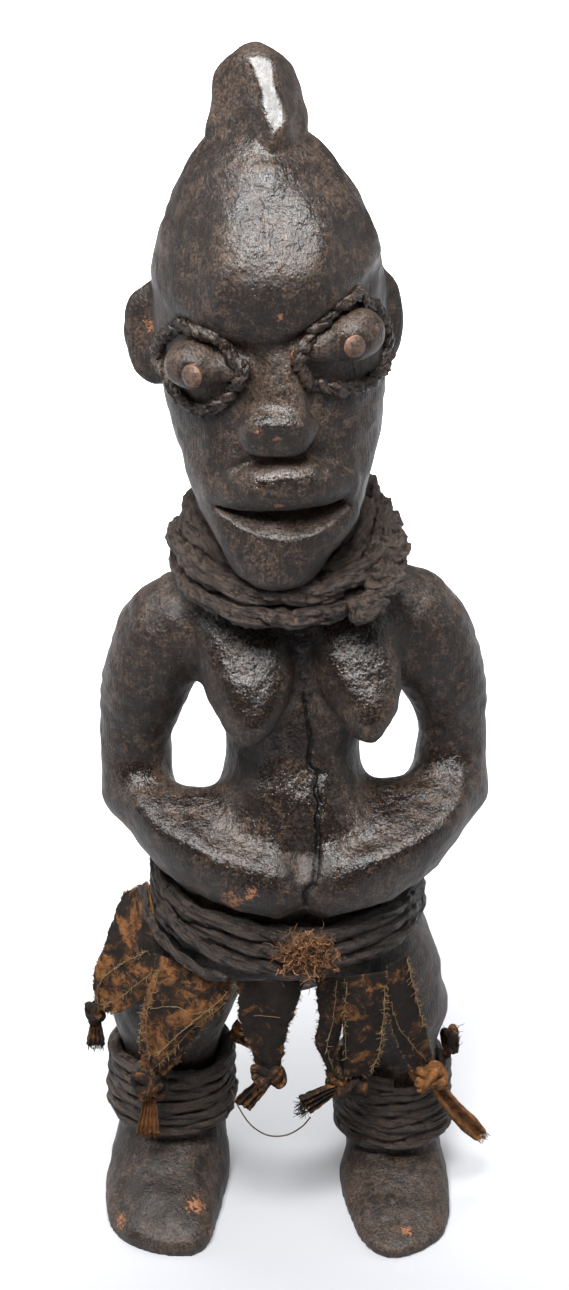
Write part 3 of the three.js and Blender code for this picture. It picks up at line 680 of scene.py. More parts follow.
def carve_trunk(wood):
    body = [
        [88, 0, 2, 22, 15],
        [100, 0, 1, 38, 26],
        [112, 0.5, -1, 43, 31],
        [125, 1, -2, 44, 33],
        [138, 1, -2, 43, 33],
        [150, 2, -3, 36, 29],
        [165, 3, -3, 28.5, 27],
        [180, 3, -2, 25, 25],
        [196, 3, -1, 25, 24],
        [211, 3, 0, 31, 23],
        [226, 2, 1, 40, 22],
        [239, 2, 2, 46, 21],
        [249, 2, 2, 42, 19],
        [257, 1, 1, 30, 16],
        [263, 0, 0, 20, 15],
        [285, 0, 2, 18, 16],
        [300, 0, 2, 17, 16],
    ]
    wood.add(stack(body), 4)
    right_breast = limb([[-15, -4, 240, 20.5], [-14.4, -19, 229, 18], [-14.2, -28, 220, 14.2],
                         [-14.2, -33.6, 211.2, 6.4]], 10)
    right_flats = [((-15, -37, 221.5), (-0.08, -0.82, 0.57)), ((-26.5, -27, 218), (-0.8, -0.55, -0.1))]
    wood.add(faceted(right_breast, right_flats, 9), 3)
    left_breast = limb([[21, -4, 242, 20.5], [24.5, -19, 231, 17.5], [27, -28, 222.5, 14],
                        [28.8, -33, 215.2, 8]], 10)
    left_flats = [((27, -37, 223.5), (0.04, -0.82, 0.57)), ((15, -28, 222), (-0.8, -0.55, -0.1))]
    wood.add(faceted(left_breast, left_flats, 9), 3)
    for x in (-20, 21):
        wood.add(ball((x, 13, 110), (22, 24, 20)), 4)
    wood.add(ball((5, -16, 166), (24, 19.5, 27)), 8)
    wood.add(ball((5, -22, 150), (31, 24, 13)), 4)


def carve_arms(wood):
    right = [
        [-31, 3, 242, 16], [-41.5, 4, 234, 18], [-48, 5, 220, 17.2], [-51.8, 5, 207, 15.4],
        [-54.4, 6, 194, 13.6],
        [-55, 5, 180, 13], [-55, 4, 170, 13],
    ]
    left = [
        [34, 3, 244.5, 16], [46, 4, 237.5, 18], [53.5, 5, 224, 17.4], [59.6, 5, 209, 14.4],
        [61.8, 6, 195, 12.6],
        [61.8, 5, 182, 12.8], [61, 4, 172, 13.6],
    ]
    for upper in (right, left):
        wood.add(limb(upper), 5)
    # Each forearm is a slab whose flat top slopes down to the front.
    right_plan = [
        (-63.5, -4), (-61, -15), (-48, -31), (-34, -42), (-20, -47), (-8, -46.5), (0, -42), (-1, -34),
        (-12, -26), (-20, -16), (-23, -4), (-32, 8), (-46, 12), (-60, 10),
    ]
    left_plan = [
        (73.5, -4), (71, -14), (62, -29), (50, -40.5), (37, -46.5), (26, -47), (17, -44), (13, -40),
        (14, -34),
        (20, -26), (27, -16), (30, -4), (38, 8), (52, 12), (70, 10),
    ]
    right_flats = [
        ((-35, -20, 173.4), (0.06, -0.45, 1)), ((-30, -44, 139), (0, 0.1, -1)),
        ((-59, -14, 161), (-0.8, -0.25, -0.5)),
        ((-35, -9, 177.5), (0, 0.75, 0.66)), ((-20, -45, 158), (-0.25, -0.9, -0.16)),
        ((-42, -34, 158), (-0.62, -0.72, -0.3)),
    ]
    left_flats = [
        ((40, -20, 174.3), (-0.1, -0.45, 1)), ((30, -44, 139), (0, 0.1, -1)),
        ((68, -14, 162), (0.8, -0.25, -0.5)),
        ((38, -6, 180), (0, 0.75, 0.66)), ((34, -45, 158), (0.25, -0.9, -0.16)),
        ((54, -34, 158), (0.62, -0.72, -0.3)),
    ]
    right_flats.append(((-60, -6, 179), (-0.75, 0, 0.66)))
    left_flats.append(((70, -6, 183), (0.75, 0, 0.66)))
    wood.add(faceted(prism(right_plan, 138, 190), right_flats, 9), 10)
    wood.add(faceted(prism(left_plan, 138, 194), left_flats, 9), 10)


def carve_legs(wood):
    for side, shin in SHINS.items():
        x, y, radius, top = shin["x"], shin["y"], shin["radius"], shin["foot_top"]
        way = math.copysign(1, x)
        sections = [
            [top - 6, x, y, radius, radius],
            [62, x, y, radius, radius],
            [72, x - 0.5 * way, y - 0.5, radius + 3, radius + 3],
            [86, x - 4 * way, y - 1, radius + 4.5, radius + 4.5],
            [100, x - 9 * way, y - 1, 24, 24],
            [116, x - 15 * way, y, 24, 25],
        ]
        wood.add(stack(sections), 5)
        slope = [[0, 0], [0.28, 0.02], [0.5, 0.25], [0.75, 0.65], [1, 1]]
        wood.add(foot(SOLES[side], (x, y), radius, top, slope), 2)


def carve():
    wood = Carving((-84, -66, -3 * GRID), (84, 48, 456), GRID)
    carve_head(wood)
    carve_trunk(wood)
    carve_arms(wood)
    carve_legs(wood)
    low, high = (-90, -70, -5), (90, 50, 2)
    wood.cut(half_space((0, 0, 0), (0, 0, 1), low, high))
    return wood


CRACK = [
    (6.6, 221), (9.1, 205.2), (10.2, 201.3), (8.8, 197.2), (9.2, 192.4), (13.5, 189.8), (11.3, 185.1),
    (13.4, 180.9), (12, 176.2), (12.3, 169.4), (10.6, 155.2), (7.4, 152.2), (7.8, 145.6),
]
CHIPS = [
    # middle in mm, reach in mm
    ((-34, -45, 12), 6), ((-60, -16, 162), 6), ((-20, -45, 147), 7), ((-30, -43, 161), 3.5),
    ((-12, -46, 152), 4),
    ((44, -41, 150), 5), ((52, -34, 150), 3), ((-3, -48, 331), 2.4), ((6, -48, 334), 2), ((-9, -48, 333), 2),
    ((-46, 3, 352), 5), ((-2, -45, 305), 2.6), ((22, -30, 216), 3), ((-62, -48, 6), 5), ((-56, -50, 14), 4),
    ((30, -48, 14), 4), ((46, -54, 8), 5), ((-28, -52, 4), 4), ((18, -16, 352), 3), ((-1, -40, 372), 2.4),
]


def line_distance(points, line):
    """How far points are from a line of straight pieces, and how far along it."""
    best = np.full(len(points), 1e9)
    for a, b in zip(line[:-1], line[1:]):
        way = b - a
        share = np.clip((points - a) @ way / (way @ way), 0, 1)
        best = np.minimum(best, np.linalg.norm(points - a - share[:, None] * way, axis=1))
    return best


def split_near_crack(points, faces):
    """Makes the mesh finer near the crack in the belly."""
    work = bmesh.new()
    corners = [work.verts.new(p) for p in points]
    for face in faces:
        work.faces.new([corners[i] for i in face])
    line = np.array(CRACK, float)
    near = (line_distance(points[:, [0, 2]], line) < 2.4) & (points[:, 1] < -8)
    work.verts.ensure_lookup_table()
    edges = [e for e in work.edges if near[e.verts[0].index] and near[e.verts[1].index]]
    bmesh.ops.subdivide_edges(work, edges=edges, cuts=4, use_grid_fill=True)
    work.verts.ensure_lookup_table()
    work.verts.index_update()
    points = np.array([v.co[:] for v in work.verts])
    faces = [[v.index for v in face.verts] for face in work.faces]
    work.free()
    return points, faces


def crack_depth(points):
    """0 away from the crack and 1 at its bottom."""
    wander = 0.28 * lumps(points, 1.6, 17)
    gap = line_distance(points[:, [0, 2]] + wander[:, None], np.array(CRACK, float))
    width = 1.15 + 0.3 * lumps(points, 5, 18) - 0.5 * np.clip((points[:, 2] - 195) / 25, 0, 1)
    return np.where(points[:, 1] < -8, np.clip(1 - gap / width, 0, 1), 0)


HANDLED_WAY = np.array([-0.06, -0.76, 0.65])  # hands wear the high places that face up and forward


def handled(points, out, hollow, ridge):
    """How polished each point is by handling, from 0 to 1."""
    x, _, z = points.T
    least = np.interp(z, [262, 300], [0.7, 0.79])
    facing = np.clip((out @ HANDLED_WAY - least) / 0.17, 0, 1)
    heights = [0, 60, 130, 145, 262, 268, 289, 294, 340, 352, 384, 400]
    zone = np.interp(z, heights, [0.05, 0.1, 0.35, 1, 1, 0.15, 0.2, 0.8, 0.8, 0.15, 0.22, 0.7])
    shoulder = np.clip((np.abs(x - 2) - 31) / 6, 0, 1) * (z > 215) * (z < 265)
    between_hands = (np.abs(x - 7) < 10) & (z < 164)
    zone = zone * (1 - 0.85 * shoulder) * np.where(between_hands, 0.25, 1)
    return np.clip(facing * zone * np.clip(1.1 - 1.2 * hollow, 0, 1) * (0.85 + 0.8 * ridge), 0, 1)


def settled(points, out):
    """Where dust has settled: level places, and the crest's sides."""
    level = np.clip((out[:, 2] - 0.45) / 0.3, 0, 1) * np.interp(points[:, 2], [100, 150, 235, 330],
                                                                [0.2, 0.5, 1, 0.2])
    crest = np.clip((points[:, 2] - 408) / 12, 0, 1) * np.clip(1 - np.abs(out[:, 1]) * 0.8, 0, 1)
    eyes = np.zeros(len(points))
    for eye in EYES.values():
        gap = np.linalg.norm((points - eye["tack"]) * [1, 0.6, 1], axis=1)
        eyes = np.maximum(eyes, np.clip((19 - gap) / 6, 0, 1) * (gap > 5))
    bridge = np.clip(1.6 - np.linalg.norm((points - [-1, -36, 343]) / [11, 14, 13], axis=1), 0, 1)
    return np.maximum.reduce([level, crest, 0.8 * eyes, 0.9 * bridge])


def carved_figure(wood):
    points, faces = split_near_crack(*wood.surface())
    _, out = wood.at(points)
    broad = lumps(points, 8, 1)
    small = lumps(points, 3.4, 2)
    on_floor = points[:, 2] < 0.6 * GRID
    crest_front = (points[:, 2] > 420) & (points[:, 1] < 4)
    facet = np.clip((out @ np.array(CREST_FACET) - 0.965) / 0.02, 0, 1) * crest_front
    shift = np.where(on_floor, 0, (1 - facet) * (0.62 * broad + 0.26 * small))
    points = points + shift[:, None] * out
    crack = crack_depth(points)
    points = points - (3.0 * crack**0.7)[:, None] * out
    points[:, 2] = np.where(on_floor, 0, np.maximum(points[:, 2], 0))
    piece = build("wood_figure", points, faces)
    near, _ = wood.at(points + 3 * out)
    far, _ = wood.at(points + 9 * out)
    hollow = np.clip(1 - near / 3, 0, 1) * 0.6 + np.clip(1 - far / 9, 0, 1) * 0.7
    deep, _ = wood.at(points - 2.5 * out)
    ridge = np.clip(1 + deep / 2.5, 0, 1)
    put_mark(piece, "hollow", np.clip(hollow, 0, 1))
    put_mark(piece, "ridge", ridge)
    put_mark(piece, "crack", crack)
    chip = np.zeros(len(points))
    for middle, reach in CHIPS:
        chip = np.maximum(chip, np.clip(1.2 - np.linalg.norm(points - middle, axis=1) / reach, 0, 1))
    put_mark(piece, "chip", chip)
    put_mark(piece, "polish", handled(points, out, hollow, ridge))
    put_mark(piece, "settled", settled(points, out))
    put_mark(piece, "facet", facet)
    finish_piece(piece, wood_material(), ["carved_figure"])


# ---- making pieces ----
def build(name, points, faces):
    mesh = bpy.data.meshes.new(name)
    faces = faces.tolist() if isinstance(faces, np.ndarray) else faces
    mesh.from_pydata(to_frame(points).tolist(), [], faces)
    mesh.update()
    mesh.shade_smooth()
    piece = bpy.data.objects.new(name, mesh)
    bpy.context.scene.collection.objects.link(piece)
    return piece


def put_mark(piece, name, values):
    """Gives each point a value, or a vector, that a material can read."""
    values = np.asarray(values, np.float32)
    vector = values.ndim == 2
    layer = piece.data.attributes.new(name, "FLOAT_VECTOR" if vector else "FLOAT", "POINT")
    layer.data.foreach_set("vector" if vector else "value", values.ravel())


def finish_piece(piece, material, nodes=(), body=BODY):
    piece.data.materials.clear()
    piece.data.materials.append(material)
    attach(piece, body)
    if nodes:
        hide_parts(*nodes)


# ---- sweeping strands and bands ----
def frames_along(path, closed=False):
    """The way on, and two unit vectors square to it, at each point of a line, with no needless twist."""
    ahead = np.roll(path, -1, 0) - np.roll(path, 1, 0) if closed else np.gradient(path, axis=0)
    ahead /= np.maximum(np.linalg.norm(ahead, axis=1, keepdims=True), 1e-9)
    start = np.cross(ahead[0], [0, 0, 1] if abs(ahead[0][2]) < 0.9 else [1, 0, 0])
    sides = [start / np.linalg.norm(start)]
    for way in [*ahead[1:], *ahead[:1]]:
        side = sides[-1] - (sides[-1] @ way) * way
        sides.append(side / np.linalg.norm(side))
    last = sides.pop()
    side = np.array(sides)
    over = np.cross(ahead, side)
    if closed:
        slip = math.atan2(last @ over[0], last @ side[0])
        turn = -slip * np.arange(len(path)) / len(path)
        c, s = np.cos(turn)[:, None], np.sin(turn)[:, None]
        side, over = c * side + s * over, c * over - s * side
    return ahead, side, over


def run_length(path):
    return np.concatenate([[0], np.cumsum(np.linalg.norm(np.diff(path, axis=0), axis=1))])


class Bundle:
    """Strands, bands and lumps that become one mesh. Each point knows its place in its strand."""

    def __init__(self, seed=0):
        self.points, self.faces, self.marks, self.tints = [], [], [], []
        self.count = 0
        self.random = np.random.default_rng(seed)

    def put(self, points, faces, marks, tint=0.5):
        self.points.append(points)
        self.faces += [[i + self.count for i in face] for face in faces]
        self.marks.append(marks)
        self.tints.append(np.full(len(points), tint))
        self.count += len(points)

    def sweep(self, path, outline, closed=False, tint=0.5, frames=None):
        """outline holds, for each point of the path, a ring of places beside and above it."""
        _, side, over = frames if frames is not None else frames_along(path, closed)
        rings = path[:, None] + outline[..., :1] * side[:, None] + outline[..., 1:] * over[:, None]
        n, sides = outline.shape[:2]
        run = run_length(path) + 61.7 * len(self.points)
        marks = np.concatenate([np.broadcast_to(run[:, None, None], (n, sides, 1)), outline], axis=2)
        i, j = np.meshgrid(np.arange(n if closed else n - 1), np.arange(sides), indexing="ij")
        following, beside = (i + 1) % n, (j + 1) % sides
        faces = np.stack([i * sides + j, i * sides + beside, following * sides + beside,
                          following * sides + j], axis=-1)
        faces = faces.reshape(-1, 4).tolist()
        points, marks = rings.reshape(-1, 3), marks.reshape(-1, 3)
        if not closed:
            for ring, order in ((0, -1), (n - 1, 1)):
                middle = len(points)
                points = np.vstack([points, rings[ring].mean(0)])
                marks = np.vstack([marks, [run[ring], 0, 0]])
                corners = [ring * sides + k for k in range(sides)][::order]
                faces += [[corners[k], corners[(k + 1) % sides], middle] for k in range(sides)]
        self.put(points, faces, marks, tint)

    def strand(self, path, radius, sides=8, closed=False, rough=0.0, size=3.0, ridges=0, depth=0.0,
               twist=0.0, flat=1.0, tint=0.5):
        """A tube. Its skin is lumpy by rough, and ridged along its length."""
        path = np.asarray(path, float)
        run = run_length(path)
        angle = np.linspace(0, 2 * np.pi, sides, endpoint=False)[None]
        reach = np.broadcast_to(np.asarray(radius, float), (len(path),))[:, None] * np.ones((1, sides))
        if ridges:
            reach = reach * (1 + depth * np.cos(ridges * angle + twist * run[:, None]))
        if rough:
            where = np.column_stack([np.repeat(run, sides), np.tile(np.cos(angle[0]) * 4, len(path)),
                                     np.tile(np.sin(angle[0]) * 4, len(path))])
            if closed:
                turn = 2 * np.pi * where[:, 0] / (run[-1] + run[1])
                loop = (run[-1] + run[1]) / (2 * np.pi)
                where = np.column_stack([loop * np.cos(turn), loop * np.sin(turn) + where[:, 1], where[:, 2]])
            crust = lumps(where + 31 * len(self.points), size, 3) + 0.5 * lumps(where, size / 2.6, 4)
            reach = reach * (1 + rough * crust.reshape(reach.shape))
        outline = np.stack([reach * np.cos(angle), flat * reach * np.sin(angle)], axis=-1)
        self.sweep(path, outline, closed, tint)

    def rope(self, path, radius, plies=3, pitch=30.0, closed=False, share=0.56, **look):
        """Several strands laid round one line."""
        path = np.asarray(path, float)
        _, side, over = frames_along(path, closed)
        run = run_length(path)
        length = run[-1] + (np.linalg.norm(path[0] - path[-1]) if closed else 0)
        turns = max(1, round(length / pitch)) if closed else length / pitch
        radius = np.broadcast_to(np.asarray(radius, float), (len(path),))
        for ply in range(plies):
            angle = 2 * np.pi * (turns * run / length + ply / plies)
            shift = (radius * (1 - share))[:, None] * (np.cos(angle)[:, None] * side
                                                       + np.sin(angle)[:, None] * over)
            self.strand(path + shift, radius * share, closed=closed, **look)

    def band(self, path, width, thick, facing, pleats=0, depth=0.0, across=14, tint=0.5, ragged=0.0):
        """A flat folded band of cloth along a line. facing is the way that its flat side looks."""
        path = np.asarray(path, float)
        ahead, _, _ = frames_along(path)
        side = np.cross(ahead, facing)
        side /= np.linalg.norm(side, axis=1, keepdims=True)
        frames = (ahead, side, np.cross(ahead, side))
        width = np.broadcast_to(np.asarray(width, float), (len(path),))
        share = np.linspace(-1, 1, across)
        wave = depth * np.cos(np.pi * pleats * share) if pleats else np.zeros(across)
        beside = width[:, None] / 2 * np.concatenate([share, share[::-1]])[None]
        if ragged:
            run = run_length(path)
            noise = lumps(np.column_stack([run, run * 0, np.full(len(run), len(self.points))]), 0.9, 5)
            beside = beside * (1 + ragged * noise[:, None])
        rise = np.concatenate([wave + thick / 2, wave[::-1] - thick / 2])[None] * np.ones((len(path), 1))
        self.sweep(path, np.stack([beside, rise], axis=-1), tint=tint, frames=frames)

    def knot(self, middle, size, thick, seed=0, tint=0.5, turn=(0, 0, 0)):
        """A band pulled into an overhand knot that fills a box."""
        t = np.linspace(0, 2 * np.pi, 90, endpoint=False) + seed
        line = np.column_stack([np.sin(t) + 2 * np.sin(2 * t), np.cos(t) - 2 * np.cos(2 * t), -np.sin(3 * t)])
        line = (line / [3, 3, 1]) @ turned(turn).T
        line = np.asarray(middle) + line * (np.asarray(size) - 0.55 * thick)
        self.strand(line, thick, 14, closed=True, rough=0.25, size=2.4, ridges=4, depth=0.1, flat=0.8,
                    tint=tint)

    def blob(self, middle, size, rough=0.2, lump=3.0, tint=0.5, wide=28, high=18):
        """A lumpy round mass."""
        u, v = np.meshgrid(np.linspace(0, 2 * np.pi, wide, endpoint=False),
                           np.linspace(0.02, np.pi - 0.02, high), indexing="ij")
        skin = np.stack([np.sin(v) * np.cos(u), np.sin(v) * np.sin(u), np.cos(v)], axis=-1).reshape(-1, 3)
        place = skin * size
        place = place * (1 + rough * lumps(place + 11 * len(self.points), lump, 7))[:, None] + middle
        i, j = np.meshgrid(np.arange(wide), np.arange(high - 1), indexing="ij")
        beside = (i + 1) % wide
        faces = np.stack([i * high + j, i * high + j + 1, beside * high + j + 1, beside * high + j],
                         axis=-1).reshape(-1, 4).tolist()
        faces += [[k * high for k in range(wide)], [k * high + high - 1 for k in range(wide)][::-1]]
        self.put(place, faces, place, tint)

    def hairs(self, roots, ways, length, radius, curl=0.5, steps=6, sides=4, tint=(0.2, 0.9), dark=1.0):
        """Thin curling fibres from each root. Where dark is above 1, most of them are dark."""
        for root, way in zip(np.asarray(roots, float), np.asarray(ways, float)):
            span = length * self.random.uniform(0.5, 1.25)
            way = way / max(np.linalg.norm(way), 1e-6)
            line = [root]
            for _ in range(steps):
                way = way + curl * self.random.normal(size=3) * 0.5
                way /= np.linalg.norm(way)
                line.append(line[-1] + way * span / steps)
            taper = radius * self.random.uniform(0.7, 1.3) * np.linspace(1, 0.55, steps + 1)
            shade = tint[0] + (tint[1] - tint[0]) * self.random.uniform() ** dark
            self.strand(np.array(line), taper, sides, tint=shade)

    def piece(self, name, material, slot, nodes=(), body=BODY):
        made = build(name, np.vstack(self.points), self.faces)
        put_mark(made, "strand", np.vstack(self.marks))
        put_mark(made, "tint", np.concatenate(self.tints))
        finish_piece(made, material, nodes, body)
        return made


# ---- cords round the eyes, neck, hips and shins ----
def wavy(path, amount, size, seed):
    """A line that wanders a little."""
    shift = np.column_stack([lumps(path + 50 * i, size, seed + i) for i in range(3)])
    return path + amount * shift


def eye_cords(wood, material):
    loops = {
        "right": [
            (-43.5, 349.2), (-41.2, 355.8), (-36.8, 361.4), (-32.6, 363.6), (-28.2, 363.6), (-22.5, 360.3),
            (-17.2, 355.8),
            (-13.8, 352.5), (-15, 346.3), (-19, 341.1), (-24.4, 336.4), (-29.6, 333.5), (-34.4, 334.5),
            (-38.3, 336.9),
            (-41.5, 340.9), (-43.6, 344.3),
        ],
        "left": [
            (4.6, 355.5), (7.5, 362.4), (11.1, 367.2), (16.1, 371.5), (20.1, 374.4), (24.5, 374.7),
            (28.6, 371.4),
            (32.6, 364.5), (35.3, 355.2), (36.4, 349), (35.1, 342.9), (31.5, 341.3), (26.2, 340.8),
            (20.4, 341.6),
            (13.6, 344.1), (8.5, 347.9),
        ],
    }
    for side, ring in loops.items():
        flat = np.array([[x, 3.6 - 42.6 * math.sqrt(max(0.05, 1 - ((x + 4.5) / 41.5) ** 2)), z] for x,
                         z in ring])
        path = wood.settle(spline(flat, 190, closed=True), 1.0)
        path = wavy(path, 0.5, 4, 11)
        bundle = Bundle(5)
        bundle.rope(path, 2.4, 2, 10, closed=True, share=0.72, sides=14, rough=0.7, size=1.9)
        piece = bundle.piece(side + "_eye_cord_twist", material, "bound_cord", [side + "_eye_cord"])
        put_mark(piece, "settled", np.full(bundle.count, 0.4))
        put_mark(piece, "polish", np.full(bundle.count, 0.18))


def loop_points(front, left, back, right, reach, half, left_half):
    """A loop round the neck from its four heights, how far it hangs forward, and its half widths."""
    return [
        (1, -reach, front), (1 + left_half * 0.72, -reach * 0.72, (front * 2 + left) / 3),
        (2 + left_half, -4, left),
        (2 + left_half * 0.7, 19, (left + back) / 2), (1, 26, back), (-half * 0.7, 19, (right + back) / 2),
        (-half, -4, right), (1 - half * 0.72, -reach * 0.72, (front * 2 + right) / 3),
    ]


def neck_cords(material):
    loops = [
        ("neck_cord_lower", [(258, 264, 272, 265, 36, 37.2, 31.5), (262, 267, 274, 268, 30, 31, 26)], 4.1),
        ("neck_cord_middle", [(266.6, 273, 281, 274, 34.5, 37, 31), (266, 274, 282, 276, 28, 30, 25)], 4.2),
        ("neck_cord_upper", [(269, 282, 290, 283, 25, 32.5, 26), (272, 288, 294, 290, 20, 27, 22)], 4.4),
    ]
    for number, (name, rings, radius) in enumerate(loops):
        bundle = Bundle(20 + number)
        for ring in rings:
            path = wavy(spline(loop_points(*ring), 300, closed=True), 1.3, 11, 30 + number)
            look = {"sides": 20, "rough": 0.36, "size": 3.4, "ridges": 7, "depth": 0.14, "twist": 0.05}
            bundle.rope(path, radius, 3, 70, closed=True, share=0.6, **look)
        bundle.piece(name + "_strands", material, "bound_cord", [name])
    route = [(28, 22, 283), (34.4, 11, 278.5), (39, -4, 273), (38, -18, 267.5), (31, -30, 261.5),
             (24, -35, 259.5)]
    path = spline(route, 150)
    bundle = Bundle(27)
    swell = 1 + 0.24 * np.sin(np.linspace(0, 9 * np.pi, 150))
    for ply in range(3):
        angle = 2 * np.pi * (ply / 3 + np.linspace(0, 3, 150))
        _, side, over = frames_along(path)
        line = path + 2.1 * (np.cos(angle)[:, None] * side + 0.7 * np.sin(angle)[:, None] * over)
        bundle.strand(wavy(line, 0.8, 4, 40 + ply), 2.5 * swell, 18, rough=0.55, size=2.6, ridges=3,
                      depth=0.12)
    for share in np.linspace(0.04, 0.86, 15):
        middle = path[int(share * 149)]
        inward = np.array([2, 0, middle[2]]) - middle
        inward /= np.linalg.norm(inward)
        middle = middle + inward * bundle.random.uniform(-0.5, 7) + bundle.random.uniform(-1, 1,
                                                                                          3) * [1.4, 1.4, 2.4]
        bundle.blob(middle, bundle.random.uniform(2.8, 4.6, 3), 0.6, 1.9)
    bundle.piece("neck_plait_lumps", material, "bound_cord", ["neck_plait"])


def hip_loop(row, lift=0.0, grow=0.0):
    rise = 6.5 * row + lift
    front, left, back, right = 117 + rise, 120.5 + rise, 128 + rise, 126 + rise
    half = 48.2 + grow
    slant = half * 0.76
    return [
        (4, -41 - grow, front), (slant, -28 - grow, (front + left) / 2 + 0.3), (1 + half, 1, left),
        (slant, 30.5 + grow, (left + back) / 2), (1, 37.5 + grow, back),
        (-slant, 30.5 + grow, (right + back) / 2),
        (1 - half, 1, right), (-slant, -27 - grow, (front + right) / 2 + 0.5),
    ]


def hip_cords(material):
    look = {"sides": 18, "rough": 0.34, "size": 4, "ridges": 6, "depth": 0.15, "twist": 0.06, "tint": 0.2}
    for row, name in enumerate(("lower", "middle", "upper")):
        bundle = Bundle(50 + row)
        path = wavy(spline(hip_loop(row), 260, closed=True), 0.9, 16, 60 + row)
        bundle.rope(path, 3.5, 3, 75, closed=True, share=0.6, **look)
        if row < 2:
            path = wavy(spline(hip_loop(row, 3.4, -1.2), 260, closed=True), 1.4, 14, 66 + row)
            bundle.rope(path, 2.4, 2, 40, closed=True, share=0.62, **look)
        bundle.piece("hip_cord_" + name + "_strands", material, "bound_cord", ["hip_cord_" + name])
    route = [(-45.6, -24, 133), (-36, -34.8, 127.6), (-23, -43.6, 122.6), (-9, -48, 120.4)]
    bundle = Bundle(58)
    bundle.rope(spline(route, 70), np.linspace(2.9, 1.7, 70), 2, 26, share=0.6, **look)
    over_apron = [(-52.5, -15.5, 137), (-49.5, -25, 127.5), (-42, -33.5, 120.5), (-31, -40.5, 115.5),
                  (-21, -45, 114.5)]
    bundle.rope(spline(over_apron, 70), 1.9, 2, 22, share=0.62, **look)
    bundle.piece("hip_cord_front_strands", material, "bound_cord", ["hip_cord_front"])


def shin_wraps(material):
    for side, shin in SHINS.items():
        bundle = Bundle(70 if side == "right" else 71)
        count = 420
        t = np.linspace(0, 1, count)
        angle = 2 * np.pi * 5.5 * t + np.pi / 2
        base = shin["radius"] + 2.6
        height = shin["wrap_bottom"] + 5.3 * 5.5 * t
        around = np.column_stack([np.cos(angle), np.sin(angle), np.zeros(count)])
        path = np.column_stack([np.full(count, shin["x"]), np.full(count, shin["y"]), height]) + base * around
        path = wavy(path, 1.1, 11, 72)
        look = {"sides": 12, "rough": 0.3, "size": 4, "ridges": 3, "depth": 0.14, "twist": 0.15}
        bundle.rope(path, 2.9, 3, 50, share=0.6, **look)
        for lap in range(5):
            turn = np.linspace(0, 2 * np.pi, 90, endpoint=False)
            tilt = bundle.random.uniform(-0.16, 0.16)
            middle = shin["wrap_bottom"] + 2.5 + 5.9 * lap
            reach = base + 1.2 + bundle.random.uniform(-0.5, 0.6)
            ring = np.column_stack([
                shin["x"] + reach * np.cos(turn),
                shin["y"] + reach * np.sin(turn),
                middle + reach * tilt * np.cos(turn + lap * 2.1),
            ])
            bundle.strand(wavy(ring, 0.9, 7, 80 + lap), 1.35, 10, closed=True, rough=0.35, size=3, ridges=3,
                          depth=0.15, flat=1.2)
        bundle.piece(side + "_shin_wrap_strands", material, "bound_cord", [side + "_shin_wrap"])


# ---- tacks and nails in the eyes ----
def pin(name, base, head, height, shank, material, slot, node, seed):
    """A hand-beaten domed head on a shank."""
    way = pin_way(base)
    bundle = Bundle(seed)
    rise = np.array([-6, -5, -0.05, 0, 0.06, 0.25, 0.5, 0.78, 0.94, 1.0])
    rise = np.where(rise > 0, rise * height, rise)
    reach = np.array([0.25, shank, shank, head * 0.96, head, head * 0.97, head * 0.84, head * 0.58,
                      head * 0.3, 0.05])
    path = np.asarray(base) + rise[:, None] * way
    frames = frames_along(path)
    frames = (frames[0], np.tile(frames[1][5], (len(path), 1)), np.tile(frames[2][5], (len(path), 1)))
    angle = np.linspace(0, 2 * np.pi, 36, endpoint=False)
    dents = 1 + 0.05 * lumps(np.column_stack([3 * np.cos(angle), 3 * np.sin(angle), angle * 0]), 1.3, seed)
    ring = np.stack([np.cos(angle) * dents, np.sin(angle) * dents], axis=-1)
    bundle.sweep(path, reach[:, None, None] * ring[None], frames=frames)
    made = bundle.piece(name, material, slot, [node])
    rim = np.concatenate([np.repeat(np.clip(reach / head, 0, 1), 36), [0, 0]])
    put_mark(made, "rim", rim)


def eye_pins(copper, iron):
    for side, eye in EYES.items():
        pin(side + "_eye_tack_head", eye["tack"], 3.9, 1.9, 0.9, copper, "copper_tack", side + "_eye_tack", 3)
        pin(side + "_eye_nail_head", eye["nail"], 2.0, 0.9, 0.8, iron, "rusted_nail", side + "_eye_nail", 4)


# ---- fibre tuft and loose thread ----
def fibre_tuft(material):
    """Short fibres matted together in a flat mass."""
    bundle = Bundle(90)
    middle = np.array([8, -46.4, 127])
    # Painted shade: the lumpy mass under the fibres gets the darkest tint, standing in for the shade deep in
    # the tuft.
    bundle.blob(middle, (8.4, 2.2, 7.4), 0.5, 2.0, tint=0.02)
    count = 900
    spread = bundle.random.normal(size=(count, 3)) * [4.3, 1.0, 3.5]
    spread += 1.6 * np.column_stack([lumps(spread, 5, 91 + i) for i in range(3)])
    ways = bundle.random.normal(size=(count, 3)) * [3, 0.9, 2.2]
    bundle.hairs(middle + spread + [0, -1.9, 0], ways, 5.4, 0.19, curl=1.1, tint=(0.0, 1.0), dark=3.4)
    bundle.piece("fibre_tuft_hairs", material, "raw_fibre", ["fibre_tuft"])


LOOSE_THREAD = [
    (-20.4, -19, 47), (-17.4, -26, 43.6), (-12.8, -31.6, 39.6), (-6.4, -34.6, 37),
    (0.6, -35.4, 37.6), (6.4, -35.4, 41.4), (9.8, -35.2, 45.8),
]
THREAD_RADIUS = 0.3


